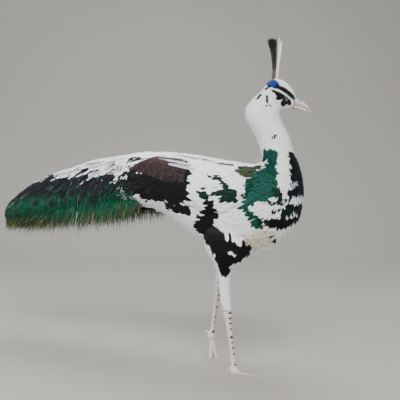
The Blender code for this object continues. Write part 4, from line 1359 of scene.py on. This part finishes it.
for side in ("right", "left"):
    nodes = [f"shank_{side}"] + [f"toe_{side}_{toe}" for toe in TOES]
    leg, points, normals = fused(f"leg_{side}_skin", nodes, LEG_VOXEL, 5)
    top, sole = np.array(HOCK[side]), np.array(SOLE[side])
    spots = points / CM
    length = np.linalg.norm(sole - top)
    down = (spots - top) @ (sole - top) / length**2
    around = spots - top - down[:, None] * (sole - top)
    front = around[:, 0] / (np.linalg.norm(around, axis=1) + 1e-6)
    on_shank = down < 0.93
    toe_run = np.hypot(spots[:, 0] - sole[0], spots[:, 1] - sole[1]) + np.maximum(
        sole[2] - 1 - spots[:, 2], 0
    )
    phase = np.where(on_shank, down * length / SHANK_PLATE, toe_run / TOE_PLATE) % 1
    plated = np.where(on_shank, np.clip(front * 2 + 0.6, 0, 1), np.clip(normals[:, 2] * 2 + 0.2, 0, 1))
    groove = np.abs(2 * phase - 1)
    rise = ((1 - groove**4) * plated - 0.6) * PLATE_RISE * np.clip(spots[:, 2] / 0.3, 0, 1)
    points = points + normals * rise[:, None]
    points[:, 2] = np.maximum(points[:, 2], FLOOR_CLEAR)
    leg.data.vertices.foreach_set("co", points.astype(np.float32).ravel())
    leg.data.update()
    shade = np.tile(linear(LEG_COLOUR), (len(points), 1))
    shade = shade + (np.array(linear(GROOVE_COLOUR)) - shade) * (groove**8 * plated)[:, None]
    rough = wander(spots)[:, 0]
    for at, size in DARK_PATCHES:
        away = np.hypot((down - at) * length / size, (0.95 - front) / 0.5)
        hit = (away + 0.45 * rough < 0.85) & on_shank
        shade[hit] = linear(DARK_PATCH_COLOUR)
    # painted shade: the skin within half a centimetre of the floor is darkened to 0.85
    shade = shade * np.where(spots[:, 2] < 0.5, 0.85, 1.0)[:, None]
    layer = leg.data.color_attributes.new("Tint", "FLOAT_COLOR", "POINT")
    layer.data.foreach_set("color", np.c_[shade, np.ones(len(shade))].astype(np.float32).ravel())
    leg.data.materials.clear()
    leg.data.materials.append(leg_skin)
    dress(leg, "leg_skin", *nodes)

# ---- claws and spurs ----
# Solid horn: blunt dusky claws, and a spur on the back of each shank.
CLAW_VOXEL = 0.0005
claw_horn, shader = new_material("claw_horn")
place = add_node(claw_horn, "ShaderNodeTexCoord")
growth = add_node(
    claw_horn, "ShaderNodeTexNoise", {"Vector": place.outputs["Object"], "Scale": 300.0, "Detail": 4.0}
)
streak = add_node(claw_horn, "ShaderNodeValToRGB", {"Fac": growth.outputs["Fac"]})
streak.color_ramp.elements[0].color = (*linear("#7d6a60"), 1)
streak.color_ramp.elements[1].color = (*linear("#cbb9ae"), 1)
bump = add_node(
    claw_horn, "ShaderNodeBump", {"Strength": 0.3, "Distance": 0.0002, "Height": growth.outputs["Fac"]}
)
join_inputs(
    claw_horn, shader, Base_Color=streak.outputs["Color"], Roughness=0.38, IOR=1.54, Normal=bump.outputs[
        "Normal"
    ]
)
for side in ("right", "left"):
    for node in [f"claw_{side}_{toe}" for toe in TOES] + [f"spur_{side}"]:
        claw, points, _ = fused(f"{node}_horn", [node], CLAW_VOXEL, 3)
        points[:, 2] = np.maximum(points[:, 2], FLOOR_CLEAR)
        claw.data.vertices.foreach_set("co", points.astype(np.float32).ravel())
        claw.data.materials.clear()
        claw.data.materials.append(claw_horn)
        dress(claw, "horn", node)

# ---- floor, light and camera ----
# A pale sweep of paper that runs from the floor up behind the bird, lit by large soft lamps.
SWEEP = [(-5.0, 0.0), (1.6, 0.0), (2.1, 0.08), (2.5, 0.3), (2.8, 0.75), (2.9, 1.4), (2.9, 4.5)]
LENS, SENSOR = 57.2, 36.0
CAMERA_AT = Vector((1.052, -1.465, 0.44))
VIEW = Vector((-0.5, 0.8660254, 0))
across = Vector((VIEW.y, -VIEW.x, 0))
rows = []
for away, up in SWEEP:
    rows += [VIEW * away + across * 6 + Vector((0, 0, up)), VIEW * away - across * 6 + Vector((0, 0, up))]
quads = np.array([(2 * k, 2 * k + 1, 2 * k + 3, 2 * k + 2) for k in range(len(SWEEP) - 1)])
paper, shader = new_material("paper_sweep")
grain = add_node(paper, "ShaderNodeTexNoise", {"Scale": 60.0, "Detail": 4.0})
paper_shade = add_node(
    paper, "ShaderNodeMapRange", {"Value": grain.outputs["Fac"], "To Min": 0.97, "To Max": 1.03}
)
paper_colour = add_node(paper, "ShaderNodeRGB")
paper_colour.outputs[0].default_value = (*linear("#a9a59e"), 1)
paper_tone = scaled(paper, paper_colour.outputs[0], paper_shade.outputs[0])
join_inputs(paper, shader, Base_Color=paper_tone.outputs[0], Roughness=0.9)
floor = mesh_piece("floor", np.array([tuple(r) for r in rows]), quads, paper)
bend = floor.modifiers.new("bend", "SUBSURF")
bend.levels = bend.render_levels = 3


def lamp(name, place, aim, size, power, colour):
    data = bpy.data.lights.new(name, "AREA")
    data.size = size
    data.energy = power
    data.color = linear(colour)
    thing = bpy.data.objects.new(name, data)
    thing.location = place
    thing.rotation_euler = (Vector(aim) - Vector(place)).to_track_quat("-Z", "Y").to_euler()
    bpy.context.scene.collection.objects.link(thing)


lamp("key", (1.5, -2.2, 2.5), (0, 0, 0.45), 1.8, 130, "#fffaf4")
lamp("fill", (-1.9, -2.0, 1.5), (0, 0, 0.4), 2.2, 50, "#eaf2ff")
lamp("rim", (-0.4, 0.9, 3.0), (0, 0, 0.5), 1.6, 60, "#ffffff")
world = bpy.data.worlds.new("room")
world.use_nodes = True
world.node_tree.nodes["Background"].inputs["Color"].default_value = (*linear("#dfe6ee"), 1)
world.node_tree.nodes["Background"].inputs["Strength"].default_value = 0.55
bpy.context.scene.world = world

lens = bpy.data.cameras.new("camera")
lens.lens = LENS
lens.sensor_width = SENSOR
lens.shift_y = -0.005
lens.dof.use_dof = False
camera = bpy.data.objects.new("camera", lens)
camera.location = CAMERA_AT
camera.rotation_euler = VIEW.to_track_quat("-Z", "Y").to_euler()
bpy.context.scene.collection.objects.link(camera)
bpy.context.scene.camera = camera
